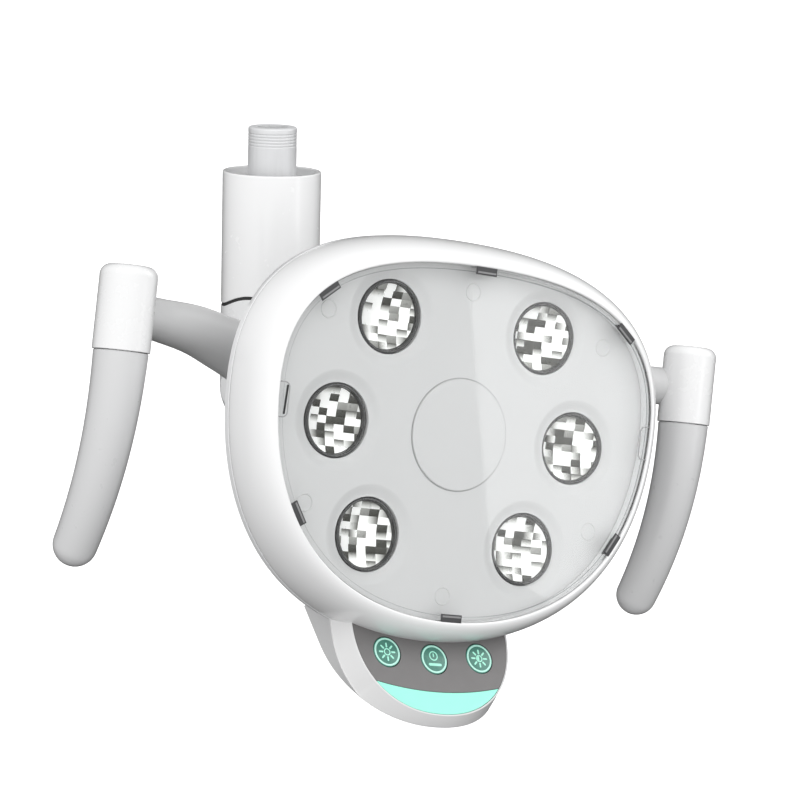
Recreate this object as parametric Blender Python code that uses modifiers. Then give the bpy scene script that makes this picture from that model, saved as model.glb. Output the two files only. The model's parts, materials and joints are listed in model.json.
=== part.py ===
"""Dental operating light: a six-reflector LED head that swivels, tilts and rolls below its mounting spigot.

The origin is the centre of the spigot's upper end, with +Z up along the spigot. At swivel zero the light leaves
towards -Y, and +X is on the right of a person who faces the lamp. All lengths are in metres.
"""
import math

import bmesh
import bpy
from mathutils import Matrix, Vector

# Posture of the head at rest
HEAD_PITCH = math.radians(8.57)
HEAD_ROLL = math.radians(10.96)

# Mounting spigot, measured from the tilt axis upward
TILT_DEPTH = 0.1402
SPIGOT_RADIUS = 0.0130
SPIGOT_BORE = 0.0050
CONNECTOR_RADIUS = 0.0078
CONNECTOR_DEPTH = 0.0120
SHOULDER_RADIUS = 0.0200
SHOULDER_TOP = 0.0781
SHOULDER_BOTTOM = 0.0741
SPIGOT_FOOT = 0.0420
RING_GROOVE_TOP = 0.0479
RING_GROOVE_BOTTOM = 0.0460
CABLE_RADIUS = 0.0032

# Sleeve and elbow
TUBE_RADIUS = 0.0263
SLEEVE_WALL = 0.0020
SLEEVE_TOP = 0.1165
SEAM_HEIGHT = 0.0440
SEAM_ARCH = 0.0052
SEAM_GAP = 0.0007
BOSS_RADIUS = 0.0240
BOSS_TOP = 0.0720
BOSS_BORE = 0.0159
SCREW_HEIGHT = 0.0600
SCREW_HOLE = 0.0023
BUSH_FLANGE = 0.0180
CAVITY_RADIUS = 0.0190
CAVITY_TOP = 0.0500
CAVITY_FLOOR = 0.0300
SLOT_WIDTH = 0.0180
SLOT_HALF_HEIGHT = 0.0135
SLOT_UP = math.radians(29.0)
SLOT_DOWN = math.radians(67.0)

# Tilt joint
TONGUE_WIDTH = 0.0140
EYE_RADIUS = 0.0150
EYE_CLEARANCE = 0.0175
BOLT_RADIUS = 0.0050
BOLT_HOLE = 0.0053
BOLT_HEAD_RADIUS = 0.0085
BOLT_SEAT = 0.0170
BOLT_REACH = 0.0215
COUNTERBORE = 0.0101

# Neck and roll joint, measured forward from the tilt axis
NECK_START = 0.0400
NECK_END = 0.0812
NECK_RADIUS = 0.0160
SHAFT_RADIUS = 0.0100
SHAFT_END = 0.1435
WASHER_PLACE = 0.1368
ROLL_NUT_PLACE = 0.1402
CABLE_BORE = 0.0030

# Head: the tilt axis in the head's own frame, whose origin is on the face, at the centre of the middle cap
HUB_HEIGHT = 0.0200
HEAD_REACH = 0.1881
OPENING_TOP = 0.0824
OPENING_FOOT = 0.0914
OPENING_SIDE = 0.1099
OPENING_SHOULDER = 0.0146
TOP_PULL = 0.0510
SHOULDER_PULL = 0.0595
FLANK_PULL = 0.0765
FOOT_PULL = 0.0580
RIM_SIDE = 0.0098
RIM_TOP = 0.0136
RIM_FOOT = 0.0125
LIP_DEPTH = -0.0102
SEAM_DEPTH = 0.0205
SHELL_SKIRT = 0.0033
SHELL_BACK = 0.0643
SHELL_WALL = 0.0022
SHELL_HOLE = 0.0240
DOME_START = math.radians(30.0)
OUTLINE_POINTS = 40

# Hub of the handle yoke, whose depths run back from the face
HUB_FRONT = 0.0404
HUB_STEP = 0.0646
HUB_REAR = 0.1040
HUB_RADIUS = 0.0300
HUB_NOSE_RADIUS = 0.0220
HUB_BORE = 0.0126
SEAT_RADIUS = 0.0168
SEAT_DEPTH = 0.0540

# Plates inside the head
FACE_THICKNESS = 0.0024
LENS_THICKNESS = 0.0016
LENS_DEPTH = -0.0081
BOARD_DEPTH = 0.0262
SINK_DEPTH = 0.0338
SINK_THICKNESS = 0.0126
DRIVER_PLACE = (0, 0.0428, -0.0430)

# Light modules
MODULES = 6
MODULE_RING = 0.0700
MODULE_STEP = math.radians(49.0)
FOCUS_DISTANCE = 0.8400
MODULE_DEPTH = 0.0020
RIM_OUTER = 0.0178
RIM_INNER = 0.0163
REFLECTOR_RADIUS = 0.0160
REFLECTOR_DEPTH = 0.0205
DISH_RADIUS = 0.0245
DISH_DEPTH = 0.0018
CAP_RADIUS = 0.0275

# Lens clips
CLIP_WIDTH = 0.0120
CLIP_THICKNESS = 0.0008
CLIP_DEPTH = -0.0096
CLIP_REACH = 0.0038
CLIP_ANGLES = (90.0, 34.2, -26.3, -90.0, -153.7, 145.8)

# Key pod under the head
POD_TILT = math.radians(26.0)
POD_CENTRE = Vector((0.0, 0.0010, -0.1103))
PANEL_HALF_WIDTH = 0.0452
PANEL_RISE = 0.0150
PANEL_DROP = 0.0436
PANEL_POWER = 2.2
PANEL_TOP = 0.0340
ACCENT_TOP = -0.0171
ACCENT_RADIUS = 0.1640
POD_WEDGE = 0.3800
PANEL_THICKNESS = 0.0016
PANEL_SINK = 0.0012
PANEL_LEDGE = 0.0023
KEY_RADIUS = 0.0077
KEY_PLACES = (("key_brightness", -0.0272, 0.0021), ("key_power", 0.0, 0.0), ("key_mode", 0.0272, 0.0021))
KEY_BOARD_DEPTH = 0.0048
SWITCH_TOP = 0.0030

# Handles
HANDLE_X = 0.1691
HANDLE_Y = 0.0403
CAP_SEAM = 0.0215
CAP_TOP = 0.0622
HANDLE_CAP_RADIUS = 0.0139
GRIP_RADIUS = 0.0132
GRIP_TIP_RADIUS = 0.0108
GRIP_LENGTH = 0.0930
GRIP_SWEEP = 0.0255
GRIP_SWEEP_POWER = 2.2
CORE_RADIUS = 0.0090
CORE_REACH = 0.0250
ARM_EYE_RADIUS = 0.0114
ARM_EYE_LOW = 0.0284
ARM_EYE_TOP = 0.0540
ARM_EYE_BORE = 0.0063
ARM_HEIGHT = 0.0400
CAP_EDGE = 0.0055
ARM_PATH = (
    (0.0200, 0.0880, 0.0200, 0.0190),
    (0.0600, 0.0860, 0.0255, 0.0170),
    (0.0900, 0.0800, 0.0327, 0.0142),
    (0.1130, 0.0720, 0.0376, 0.0124),
    (0.1380, 0.0610, 0.0394, 0.0107),
    (0.1560, 0.0500, 0.0400, 0.0100),
    (0.1691, 0.0403, 0.0400, 0.0098),
)
ARM_ENTRY = math.radians(36.5)

GAP = 0.0003
ROUND = 24
FACING = (math.pi / 2, 0, 0)  # turns a piece's local Z towards the viewer, -Y

COLOURS = {
    "white_plastic": ((0.93, 0.93, 0.93), 0.30, 0.0),
    "grey_plastic": ((0.78, 0.79, 0.80), 0.40, 0.0),
    "grip_plastic": ((0.72, 0.73, 0.74), 0.45, 0.0),
    "dark_plastic": ((0.09, 0.09, 0.09), 0.45, 0.0),
    "panel_grey": ((0.26, 0.25, 0.25), 0.35, 0.0),
    "mint": ((0.45, 1.0, 0.80), 0.35, 0.0),
    "key_teal": ((0.07, 0.22, 0.18), 0.35, 0.0),
    "clear": ((0.95, 0.97, 0.98), 0.05, 0.0),
    "mirror": ((0.90, 0.89, 0.85), 0.05, 1.0),
    "aluminium": ((0.74, 0.75, 0.77), 0.40, 1.0),
    "steel": ((0.60, 0.60, 0.62), 0.35, 1.0),
    "bronze": ((0.55, 0.38, 0.18), 0.40, 1.0),
    "friction": ((0.30, 0.22, 0.16), 0.80, 0.0),
    "circuit": ((0.03, 0.20, 0.09), 0.50, 0.0),
    "rubber": ((0.05, 0.05, 0.05), 0.70, 0.0),
}


# Scene and placing

def clear_scene():
    for obj in list(bpy.data.objects):
        bpy.data.objects.remove(obj)


def new_collection(name):
    collection = bpy.data.collections.new(name)
    bpy.context.scene.collection.children.link(collection)
    return collection


def empty(name, parent, location=(0, 0, 0), rotation=(0, 0, 0)):
    """An unrendered reference frame that pieces are parented to."""
    frame = bpy.data.objects.new(name, None)
    frame.empty_display_size = 0.02
    frame.parent = parent
    frame.location = location
    frame.rotation_euler = rotation
    lamp.objects.link(frame)
    return frame


def place(obj, parent, colour, location=(0, 0, 0), rotation=(0, 0, 0)):
    """Gives a piece its parent, place and material, and puts it in the lamp's collection."""
    obj.parent = parent
    obj.location = location
    obj.rotation_euler = rotation
    tint, roughness, metallic = COLOURS[colour]
    material = bpy.data.materials.new(f"{obj.name}_{colour}")
    material.use_nodes = True
    shader = material.node_tree.nodes["Principled BSDF"]
    shader.inputs["Base Color"].default_value = (*tint, 1.0)
    shader.inputs["Roughness"].default_value = roughness
    shader.inputs["Metallic"].default_value = metallic
    obj.data.materials.append(material)
    if obj.name not in lamp.objects:
        lamp.objects.link(obj)
    return obj


def tool(obj, parent, location=(0, 0, 0), rotation=(0, 0, 0)):
    """Places a Boolean operand, which isn't a piece of the lamp."""
    obj.parent = parent
    obj.location = location
    obj.rotation_euler = rotation
    obj.hide_render = True
    obj.display_type = "WIRE"
    if obj.name not in tools.objects:
        tools.objects.link(obj)
    return obj


def boolean(obj, other, operation="DIFFERENCE"):
    modifier = obj.modifiers.new(operation.lower(), "BOOLEAN")
    modifier.operation = operation
    modifier.solver = "EXACT"
    modifier.object = other
    return obj


def round_edges(obj, width):
    bevel = obj.modifiers.new("rounded_edges", "BEVEL")
    bevel.width = width
    bevel.segments = 1
    bevel.limit_method = "ANGLE"
    bevel.angle_limit = math.radians(40)
    return obj


# Shapes

def object_from(name, bm):
    mesh = bpy.data.meshes.new(name)
    bm.to_mesh(mesh)
    bm.free()
    mesh.shade_smooth()
    mesh.set_sharp_from_angle(angle=math.radians(35))
    return bpy.data.objects.new(name, mesh)


def box(name, size, centre=(0, 0, 0)):
    bm = bmesh.new()
    bmesh.ops.create_cube(bm, size=1.0, matrix=Matrix.Translation(centre) @ Matrix.Diagonal((*size, 1.0)))
    return object_from(name, bm)


def cylinder(name, radius, low, high, axis="Z", segments=ROUND, top_radius=None):
    """A cylinder or cone along an axis, between two stations on it."""
    turn = {
        "X": Matrix.Rotation(math.pi / 2, 4, "Y"),
        "Y": Matrix.Rotation(-math.pi / 2, 4, "X"),
        "Z": Matrix.Identity(4),
    }[axis]
    middle = Matrix.Translation((0, 0, (low + high) / 2))
    bm = bmesh.new()
    bmesh.ops.create_cone(
        bm,
        cap_ends=True,
        segments=segments,
        radius1=radius,
        radius2=radius if top_radius is None else top_radius,
        depth=high - low,
        matrix=turn @ middle,
    )
    return object_from(name, bm)


def turned(name, profile, segments=ROUND):
    """A solid of revolution about local Z. The profile of (radius, height) runs down its outer side."""
    mesh = bpy.data.meshes.new(name)
    edges = [(i, i + 1) for i in range(len(profile) - 1)]
    if min(radius for radius, _ in profile) > 0:
        edges.append((len(profile) - 1, 0))
    mesh.from_pydata([(radius, 0, height) for radius, height in profile], edges, [])
    obj = bpy.data.objects.new(name, mesh)
    screw = obj.modifiers.new("turn", "SCREW")
    screw.steps = segments
    screw.render_steps = segments
    screw.use_merge_vertices = True
    screw.merge_threshold = 0.00001
    screw.use_smooth_shade = True
    return obj


def sleeve_profile(inner, outer, low, high):
    return [(outer, high), (outer, low), (inner, low), (inner, high)]


def flat(name, outline, thickness, depth=0.0):
    """A flat piece from a closed outline of (x, z) points, centred on the plane y = depth."""
    curve = bpy.data.curves.new(name, "CURVE")
    curve.dimensions = "2D"
    curve.fill_mode = "BOTH"
    curve.extrude = thickness / 2
    spline = curve.splines.new("POLY")
    spline.points.add(len(outline) - 1)
    for point, (x, z) in zip(spline.points, outline):
        point.co = (x, z, 0.0, 1.0)
    spline.use_cyclic_u = True
    upright = Matrix.Translation((0, depth, 0)) @ Matrix.Rotation(math.pi / 2, 4, "X")
    return mesh_from_curve(name, curve, upright)


def tube(name, stations, sides=2):
    """A round bar through (x, y, z, radius) stations, with capped ends."""
    curve = bpy.data.curves.new(name, "CURVE")
    curve.dimensions = "3D"
    curve.bevel_depth = 1.0
    curve.bevel_resolution = sides
    curve.use_fill_caps = True
    spline = curve.splines.new("POLY")
    spline.points.add(len(stations) - 1)
    for point, (x, y, z, radius) in zip(spline.points, stations):
        point.co = (x, y, z, 1.0)
        point.radius = radius
    return mesh_from_curve(name, curve, Matrix.Identity(4))


def mesh_from_curve(name, curve, matrix):
    """Turns a curve into a closed mesh object, so that it can be cut and joined."""
    guide = bpy.data.objects.new(name + "_curve", curve)
    bpy.context.scene.collection.objects.link(guide)
    evaluated = guide.evaluated_get(bpy.context.evaluated_depsgraph_get())
    mesh = bpy.data.meshes.new_from_object(evaluated)
    bpy.data.objects.remove(guide)
    bpy.data.curves.remove(curve)
    bm = bmesh.new()
    bm.from_mesh(mesh)
    bpy.data.meshes.remove(mesh)
    bmesh.ops.remove_doubles(bm, verts=bm.verts, dist=0.000001)
    bmesh.ops.transform(bm, matrix=matrix, verts=bm.verts)
    bmesh.ops.recalc_face_normals(bm, faces=bm.faces)
    return object_from(name, bm)


def loft(name, rings, closed=False):
    """A skin through rings of equal count. Closed joins the last ring to the first, else both ends are capped."""
    bm = bmesh.new()
    rows = [[bm.verts.new(point) for point in ring] for ring in rings]
    count = len(rows[0])
    pairs = list(zip(rows, rows[1:]))
    if closed:
        pairs.append((rows[-1], rows[0]))
    for row, following in pairs:
        for i in range(count):
            j = (i + 1) % count
            bm.faces.new((row[i], row[j], following[j], following[i]))
    if not closed:
        bm.faces.new(rows[0])
        bm.faces.new(rows[-1])
    bmesh.ops.recalc_face_normals(bm, faces=bm.faces)
    return object_from(name, bm)


# Outlines

def cubic(start, pull, push, end, t):
    u = 1 - t
    return start * u**3 + pull * (3 * u * u * t) + push * (3 * u * t * t) + end * t**3


def resample(path, count):
    """Even points along a path of 2D points, ends included."""
    lengths = [0.0]
    for a, b in zip(path, path[1:]):
        lengths.append(lengths[-1] + (b - a).length)
    points = []
    index = 0
    for i in range(count + 1):
        target = lengths[-1] * i / count
        while index < len(path) - 2 and lengths[index + 1] < target:
            index += 1
        share = (target - lengths[index]) / (lengths[index + 1] - lengths[index])
        points.append(path[index].lerp(path[index + 1], share))
    return points


def normals(points):
    """Outward normals of a closed outline that runs clockwise."""
    found = []
    for i in range(len(points)):
        along = points[(i + 1) % len(points)] - points[i - 1]
        found.append(Vector((-along.y, along.x)).normalized())
    return found


def shield(offset=0.0, share=0.0, count=OUTLINE_POINTS):
    """The front opening: a rounded shield, widest above its middle.

    It is moved outward by an offset and by a share of the rim's width, which is larger at the top and the foot.
    """
    top = Vector((0, OPENING_TOP))
    side = Vector((OPENING_SIDE, OPENING_SHOULDER))
    foot = Vector((0, -OPENING_FOOT))
    fine = [i / 60 for i in range(61)]
    upper = [cubic(top, top + Vector((TOP_PULL, 0)), side + Vector((0, SHOULDER_PULL)), side, t) for t in fine]
    lower = [cubic(side, side - Vector((0, FLANK_PULL)), foot + Vector((FOOT_PULL, 0)), foot, t) for t in fine]
    right = resample(upper + lower[1:], count // 2)
    left = [Vector((-point.x, point.y)) for point in reversed(right[1:-1])]
    points = right + left
    moved = []
    for point, normal in zip(points, normals(points)):
        end = RIM_TOP if normal.y > 0 else RIM_FOOT
        width = RIM_SIDE + (end - RIM_SIDE) * normal.y**2
        moved.append(point + normal * (offset + share * width))
    return moved


def ring_at(outline, depth):
    return [Vector((point.x, depth, point.y)) for point in outline]


def rim_rings(offset=0.0, steps=6):
    """Outer rings of the rim: a quarter ellipse from just outside the lip back to the seam."""
    rings = []
    for i in range(1, steps + 1):
        turn = math.pi / 2 * i / steps
        depth = LIP_DEPTH + (SEAM_DEPTH - LIP_DEPTH) * (1 - math.cos(turn))
        rings.append(ring_at(shield(offset, math.sin(turn)), depth))
    return rings


def hub_circle(radius):
    """A circle about the roll axis whose points pair up with the shield's."""
    points = []
    for point in shield():
        direction = Vector((point.x, point.y - HUB_HEIGHT)).normalized()
        points.append(Vector((0, HUB_HEIGHT)) + direction * radius)
    return points


def dome_rings(offset, back, count=5):
    """Rings of the rear shell: a short skirt behind the seam, then a dome to the round hole about the roll axis.

    The dome is the part of a quarter ellipse beyond a start angle, so it leaves the skirt at a slant.
    """
    edge = shield(offset, 1.0)
    skirt_end = SEAM_DEPTH + GAP + SHELL_SKIRT
    rings = [ring_at(edge, SEAM_DEPTH + GAP)]
    for i in range(count):
        turn = DOME_START + (math.pi / 2 - DOME_START) * i / (count - 1)
        inward = 1 - math.cos(turn) / math.cos(DOME_START)
        backward = (math.sin(turn) - math.sin(DOME_START)) / (1 - math.sin(DOME_START))
        outline = [a.lerp(b, inward) for a, b in zip(edge, hub_circle(SHELL_HOLE))]
        rings.append(ring_at(outline, skirt_end + (back - skirt_end) * backward))
    return rings


def panel_outline(offset=0.0, count=22, top=PANEL_TOP):
    """The pod panel's U-shaped outline, open-cornered at the top and moved outward by an offset."""
    right = []
    for i in range(count // 2 + 1):
        turn = math.pi / 2 * i / (count // 2)
        share = math.sin(turn) ** (2 / PANEL_POWER)
        right.append(Vector((PANEL_HALF_WIDTH * math.cos(turn) ** (2 / PANEL_POWER), PANEL_RISE - PANEL_DROP * share)))
    left = [Vector((-point.x, point.y)) for point in reversed(right[:-1])]
    arc = right + left
    moved = [Vector((arc[0].x + offset, top))]
    for i, point in enumerate(arc):
        along = arc[min(i + 1, len(arc) - 1)] - arc[max(i - 1, 0)]
        moved.append(point + Vector((-along.y, along.x)).normalized() * offset)
    moved.append(Vector((arc[-1].x - offset, top)))
    return moved


# Mount and swivel

def seam_height(angle):
    """Height of the sleeve's lower edge: it arches up towards the front, over the neck."""
    share = min(1.0, max(0.0, (math.cos(angle) + 0.35) / 0.75))
    return SEAM_HEIGHT + SEAM_ARCH * share * share * (3 - 2 * share)


def build_spigot(axis):
    top = TILT_DEPTH
    profile = [
        (CONNECTOR_RADIUS + GAP, top),
        (SPIGOT_RADIUS - 0.0010, top),
        (SPIGOT_RADIUS, top - 0.0010),
        (SPIGOT_RADIUS, top - 0.0045),
        (SPIGOT_RADIUS - 0.0007, top - 0.0050),
        (SPIGOT_RADIUS, top - 0.0075),
        (SPIGOT_RADIUS, SHOULDER_TOP),
        (SHOULDER_RADIUS, SHOULDER_TOP),
        (SHOULDER_RADIUS, SHOULDER_BOTTOM),
        (SPIGOT_RADIUS, SHOULDER_BOTTOM),
        (SPIGOT_RADIUS, RING_GROOVE_TOP),
        (SPIGOT_RADIUS - 0.0012, RING_GROOVE_TOP),
        (SPIGOT_RADIUS - 0.0012, RING_GROOVE_BOTTOM),
        (SPIGOT_RADIUS, RING_GROOVE_BOTTOM),
        (SPIGOT_RADIUS, SPIGOT_FOOT),
        (SPIGOT_BORE, SPIGOT_FOOT),
        (SPIGOT_BORE, top - CONNECTOR_DEPTH - GAP),
        (CONNECTOR_RADIUS + GAP, top - CONNECTOR_DEPTH - GAP),
    ]
    place(turned("spigot", profile, 20), axis, "aluminium")
    insert = cylinder("connector_insert", CONNECTOR_RADIUS, top - CONNECTOR_DEPTH, top, segments=20)
    place(insert, axis, "dark_plastic")
    ring = sleeve_profile(SPIGOT_RADIUS - 0.0009, 0.0170, RING_GROOVE_BOTTOM + 0.0002, RING_GROOVE_TOP - 0.0002)
    place(turned("retaining_ring", ring, 20), axis, "steel")
    cable_top = top - CONNECTOR_DEPTH - 0.0004
    path = [
        (0, 0, cable_top, CABLE_RADIUS),
        (0, 0, 0.0380, CABLE_RADIUS),
        (0, 0.0004, 0.0300, CABLE_RADIUS),
        (0, 0.0020, 0.0215, CABLE_RADIUS),
    ]
    place(tube("supply_cable", path), axis, "rubber")


def build_sleeve(axis):
    """The hollow cover: its foot follows the arched seam, and its top is open for the arm's socket."""
    rings = []
    for radius, level in (
        (TUBE_RADIUS, "foot"),
        (TUBE_RADIUS, "top"),
        (TUBE_RADIUS - SLEEVE_WALL, "top"),
        (TUBE_RADIUS - SLEEVE_WALL, "foot"),
    ):
        ring = []
        for i in range(ROUND):
            angle = 2 * math.pi * i / ROUND
            height = SLEEVE_TOP if level == "top" else seam_height(angle) + SEAM_GAP
            ring.append(Vector((radius * math.sin(angle), -radius * math.cos(angle), height)))
        rings.append(ring)
    sleeve = loft("sleeve_cover", rings, closed=True)
    screw_hole = cylinder("sleeve_screw_hole", SCREW_HOLE, 0.0190, 0.0300, "Y", 12)
    boolean(sleeve, tool(screw_hole, axis, location=(0, 0, SCREW_HEIGHT)))
    place(sleeve, axis, "white_plastic")
    place(cylinder("sleeve_screw", 0.0020, 0.0200, 0.0262, "Y", 12), axis, "steel", location=(0, 0, SCREW_HEIGHT))


def elbow_skin():
    """Outer rings of the elbow: a round foot, a cylinder up to the arched seam, then the boss inside the sleeve."""
    levels = [(TUBE_RADIUS * math.cos(turn), -TUBE_RADIUS * math.sin(turn))
              for turn in (math.radians(angle) for angle in (80, 60, 40, 20, 0))]
    rings = []
    for radius, height in levels + [(TUBE_RADIUS, None), (BOSS_RADIUS, None), (BOSS_RADIUS, BOSS_TOP)]:
        ring = []
        for i in range(ROUND):
            angle = 2 * math.pi * i / ROUND
            level = seam_height(angle) if height is None else height
            ring.append(Vector((radius * math.sin(angle), -radius * math.cos(angle), level)))
        rings.append(ring)
    return rings


def slot_outline():
    """Side view of the clevis slot, as (y, z): the tongue's sweep about the tilt axis, round behind its eye."""
    reach = 0.0420
    spread = math.asin(SLOT_HALF_HEIGHT / EYE_CLEARANCE)
    first = math.pi - SLOT_UP
    last = math.pi + SLOT_DOWN

    def polar(radius, angle):
        return Vector((math.cos(angle), math.sin(angle))) * radius

    mouth = [polar(reach, first + (last - first) * i / 8) for i in range(9)]
    up_side = polar(SLOT_HALF_HEIGHT, first - math.pi / 2)
    down_side = polar(SLOT_HALF_HEIGHT, last + math.pi / 2)
    back_start = last + spread
    back_end = first - spread + 2 * math.pi
    back = [polar(EYE_CLEARANCE, back_start + (back_end - back_start) * i / 12) for i in range(13)]
    return [mouth[0] + up_side] + mouth + [mouth[-1] + down_side] + back


def cross_plate(name, outline, width):
    """A flat piece whose outline is (y, z) and whose thickness is along X."""
    plate = flat(name, outline, width)
    plate.data.transform(Matrix.Rotation(math.pi / 2, 4, "Z"))
    return plate


def build_elbow(axis):
    elbow = loft("elbow_body", elbow_skin())
    cuts = [
        cylinder("boss_bore", BOSS_BORE, CAVITY_TOP - 0.001, BOSS_TOP + 0.001),
        cylinder("ring_cavity", CAVITY_RADIUS, CAVITY_FLOOR, CAVITY_TOP),
        cylinder("cable_way", 0.0080, 0.0060, CAVITY_FLOOR + 0.001, segments=24),
        cross_plate("neck_slot", slot_outline(), SLOT_WIDTH),
        cylinder("bolt_way", BOLT_HOLE, -0.030, 0.030, "X", 18),
        cylinder("left_counterbore", COUNTERBORE, -0.030, -BOLT_SEAT, "X", 18),
        cylinder("right_counterbore", COUNTERBORE, BOLT_SEAT, 0.030, "X", 18),
    ]
    for cutter in cuts:
        boolean(elbow, tool(cutter, axis))
    screw_way = cylinder("boss_screw_hole", SCREW_HOLE, 0.0195, 0.0300, "Y", 12)
    boolean(elbow, tool(screw_way, axis, location=(0, 0, SCREW_HEIGHT)))
    place(elbow, axis, "white_plastic")


def build_swivel_bushes(axis):
    inner = SPIGOT_RADIUS + GAP
    outer = BOSS_BORE - GAP
    upper = [
        (BUSH_FLANGE, BOSS_TOP + 0.0018),
        (BUSH_FLANGE, BOSS_TOP + GAP),
        (outer, BOSS_TOP + GAP),
        (outer, 0.0622),
        (inner, 0.0622),
        (inner, BOSS_TOP + 0.0018),
    ]
    lower = [
        (outer, 0.0598),
        (outer, CAVITY_TOP - 0.0013),
        (BUSH_FLANGE, CAVITY_TOP - 0.0013),
        (BUSH_FLANGE, CAVITY_TOP - 0.0020),
        (inner, CAVITY_TOP - 0.0020),
        (inner, 0.0598),
    ]
    place(turned("swivel_bush_upper", upper, 20), axis, "bronze")
    place(turned("swivel_bush_lower", lower, 20), axis, "bronze")


def build_tilt_hardware(axis):
    """The cross bolt with its head, nut and the two caps that close the counterbores."""
    bolt = cylinder("tilt_bolt", BOLT_RADIUS, -BOLT_SEAT - 0.001, BOLT_REACH, "X", 18)
    head = cylinder("tilt_bolt_head", BOLT_HEAD_RADIUS, -BOLT_REACH, -BOLT_SEAT - GAP, "X", 18)
    boolean(bolt, tool(head, axis), "UNION")
    place(bolt, axis, "steel")
    nut = cylinder("tilt_nut", BOLT_HEAD_RADIUS, BOLT_SEAT + GAP, 0.0208, "X", 6)
    boolean(nut, tool(cylinder("tilt_nut_hole", BOLT_HOLE, 0.0150, 0.0230, "X", 18), axis))
    place(nut, axis, "steel")
    for side, sign in (("left", -1), ("right", 1)):
        cap = cylinder(f"tilt_cap_{side}", COUNTERBORE - GAP, -0.0013, 0.0013, "X", 20)
        place(round_edges(cap, 0.0005), axis, "white_plastic", location=(sign * 0.0233, 0, 0))


# Neck

def build_neck(tilt):
    """The tongue on the tilt axis, the round neck, and the roll shaft that carries the head."""
    profile = [
        (SHAFT_RADIUS - 0.0008, SHAFT_END),
        (SHAFT_RADIUS, SHAFT_END - 0.0008),
        (SHAFT_RADIUS, NECK_END),
        (NECK_RADIUS - 0.0010, NECK_END),
        (NECK_RADIUS, NECK_END - 0.0010),
        (NECK_RADIUS, NECK_START + 0.0030),
        (NECK_RADIUS - 0.0030, NECK_START),
    ]
    neck = turned("neck", [(0, SHAFT_END)] + profile + [(0, NECK_START)], 24)
    tongue = [Vector((-0.0440, -0.0120)), Vector((-0.0440, 0.0120))]
    for i in range(13):
        angle = math.radians(125 - 250 * i / 12)
        tongue.append(Vector((EYE_RADIUS * math.cos(angle), EYE_RADIUS * math.sin(angle))))
    boolean(neck, tool(cross_plate("neck_tongue", tongue, TONGUE_WIDTH), tilt), "UNION")
    boolean(neck, tool(cylinder("neck_bolt_hole", BOLT_HOLE, -0.02, 0.02, "X", 18), tilt))
    boolean(neck, tool(cylinder("shaft_cable_bore", CABLE_BORE, -0.1500, -0.0300, "Y", 10), tilt))
    boolean(neck, tool(box("tongue_cable_exit", (0.0070, 0.0070, 0.0400), (0, -0.0300, 0.0163)), tilt))
    place(neck, tilt, "aluminium", rotation=FACING)
    for side, sign in (("left", -1), ("right", 1)):
        disc = turned(f"friction_disc_{side}", sleeve_profile(BOLT_HOLE, EYE_RADIUS - 0.0005, -0.0007, 0.0007), 20)
        place(disc, tilt, "friction", location=(sign * 0.0080, 0, 0), rotation=(0, math.pi / 2, 0))


def build_roll_fasteners(tilt):
    washer = sleeve_profile(SHAFT_RADIUS + GAP, 0.0140, -0.0006, 0.0006)
    place(turned("roll_washer", washer, 20), tilt, "steel", location=(0, -WASHER_PLACE, 0), rotation=FACING)
    nut = cylinder("roll_nut", 0.0145, -0.0025, 0.0025, segments=6)
    hole = cylinder("roll_nut_hole", SHAFT_RADIUS + GAP, -0.0060, 0.0060, segments=20)
    boolean(nut, tool(hole, tilt, location=(0, -ROLL_NUT_PLACE, 0), rotation=FACING))
    place(nut, tilt, "steel", location=(0, -ROLL_NUT_PLACE, 0), rotation=FACING)


# Head

def along_roll_axis(depth):
    """A place on the roll axis at a depth behind the face."""
    return (0, depth, HUB_HEIGHT)


def build_yoke(head):
    """One casting: the hub round the roll shaft and both handle arms with their end eyes."""
    hub_profile = [
        (SEAT_RADIUS, -HUB_FRONT),
        (HUB_NOSE_RADIUS, -HUB_FRONT),
        (HUB_NOSE_RADIUS, -HUB_STEP),
        (HUB_RADIUS - 0.0010, -HUB_STEP),
        (HUB_RADIUS, -HUB_STEP - 0.0010),
        (HUB_RADIUS, -HUB_REAR + 0.0040),
        (HUB_RADIUS - 0.0040, -HUB_REAR),
        (HUB_BORE, -HUB_REAR),
        (HUB_BORE, -SEAT_DEPTH),
        (SEAT_RADIUS, -SEAT_DEPTH),
    ]
    hub = turned("handle_yoke", hub_profile)
    for side, sign in (("left", -1), ("right", 1)):
        arm = tube(f"arm_{side}", [(sign * x, y, z, radius) for x, y, z, radius in ARM_PATH])
        boolean(hub, tool(arm, head), "UNION")
        eye = cylinder(f"arm_eye_{side}", ARM_EYE_RADIUS, ARM_EYE_LOW, ARM_EYE_TOP, segments=20)
        boolean(hub, tool(eye, head, location=(sign * HANDLE_X, HANDLE_Y, 0)), "UNION")
    clear_bore = cylinder("hub_bore", HUB_BORE, 0.0500, 0.1100, "Y")
    boolean(hub, tool(clear_bore, head, location=along_roll_axis(0)))
    for side, sign in (("left", -1), ("right", 1)):
        bore = cylinder(f"arm_eye_bore_{side}", ARM_EYE_BORE, 0.0200, 0.0600, segments=16)
        boolean(hub, tool(bore, head, location=(sign * HANDLE_X, HANDLE_Y, 0)))
    place(hub, head, "white_plastic", location=along_roll_axis(0), rotation=FACING)


def build_roll_bushes(head):
    inner = SHAFT_RADIUS + GAP
    outer = HUB_BORE - GAP
    rear = [
        (outer, -0.0900),
        (outer, -0.1043),
        (0.0165, -0.1043),
        (0.0165, -0.1060),
        (inner, -0.1060),
        (inner, -0.0900),
    ]
    front = [
        (0.0155, -0.0522),
        (0.0155, -0.0537),
        (outer, -0.0537),
        (outer, -0.0680),
        (inner, -0.0680),
        (inner, -0.0522),
    ]
    place(turned("roll_bush_rear", rear, 20), head, "bronze", location=along_roll_axis(0), rotation=FACING)
    place(turned("roll_bush_front", front, 20), head, "bronze", location=along_roll_axis(0), rotation=FACING)


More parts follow.
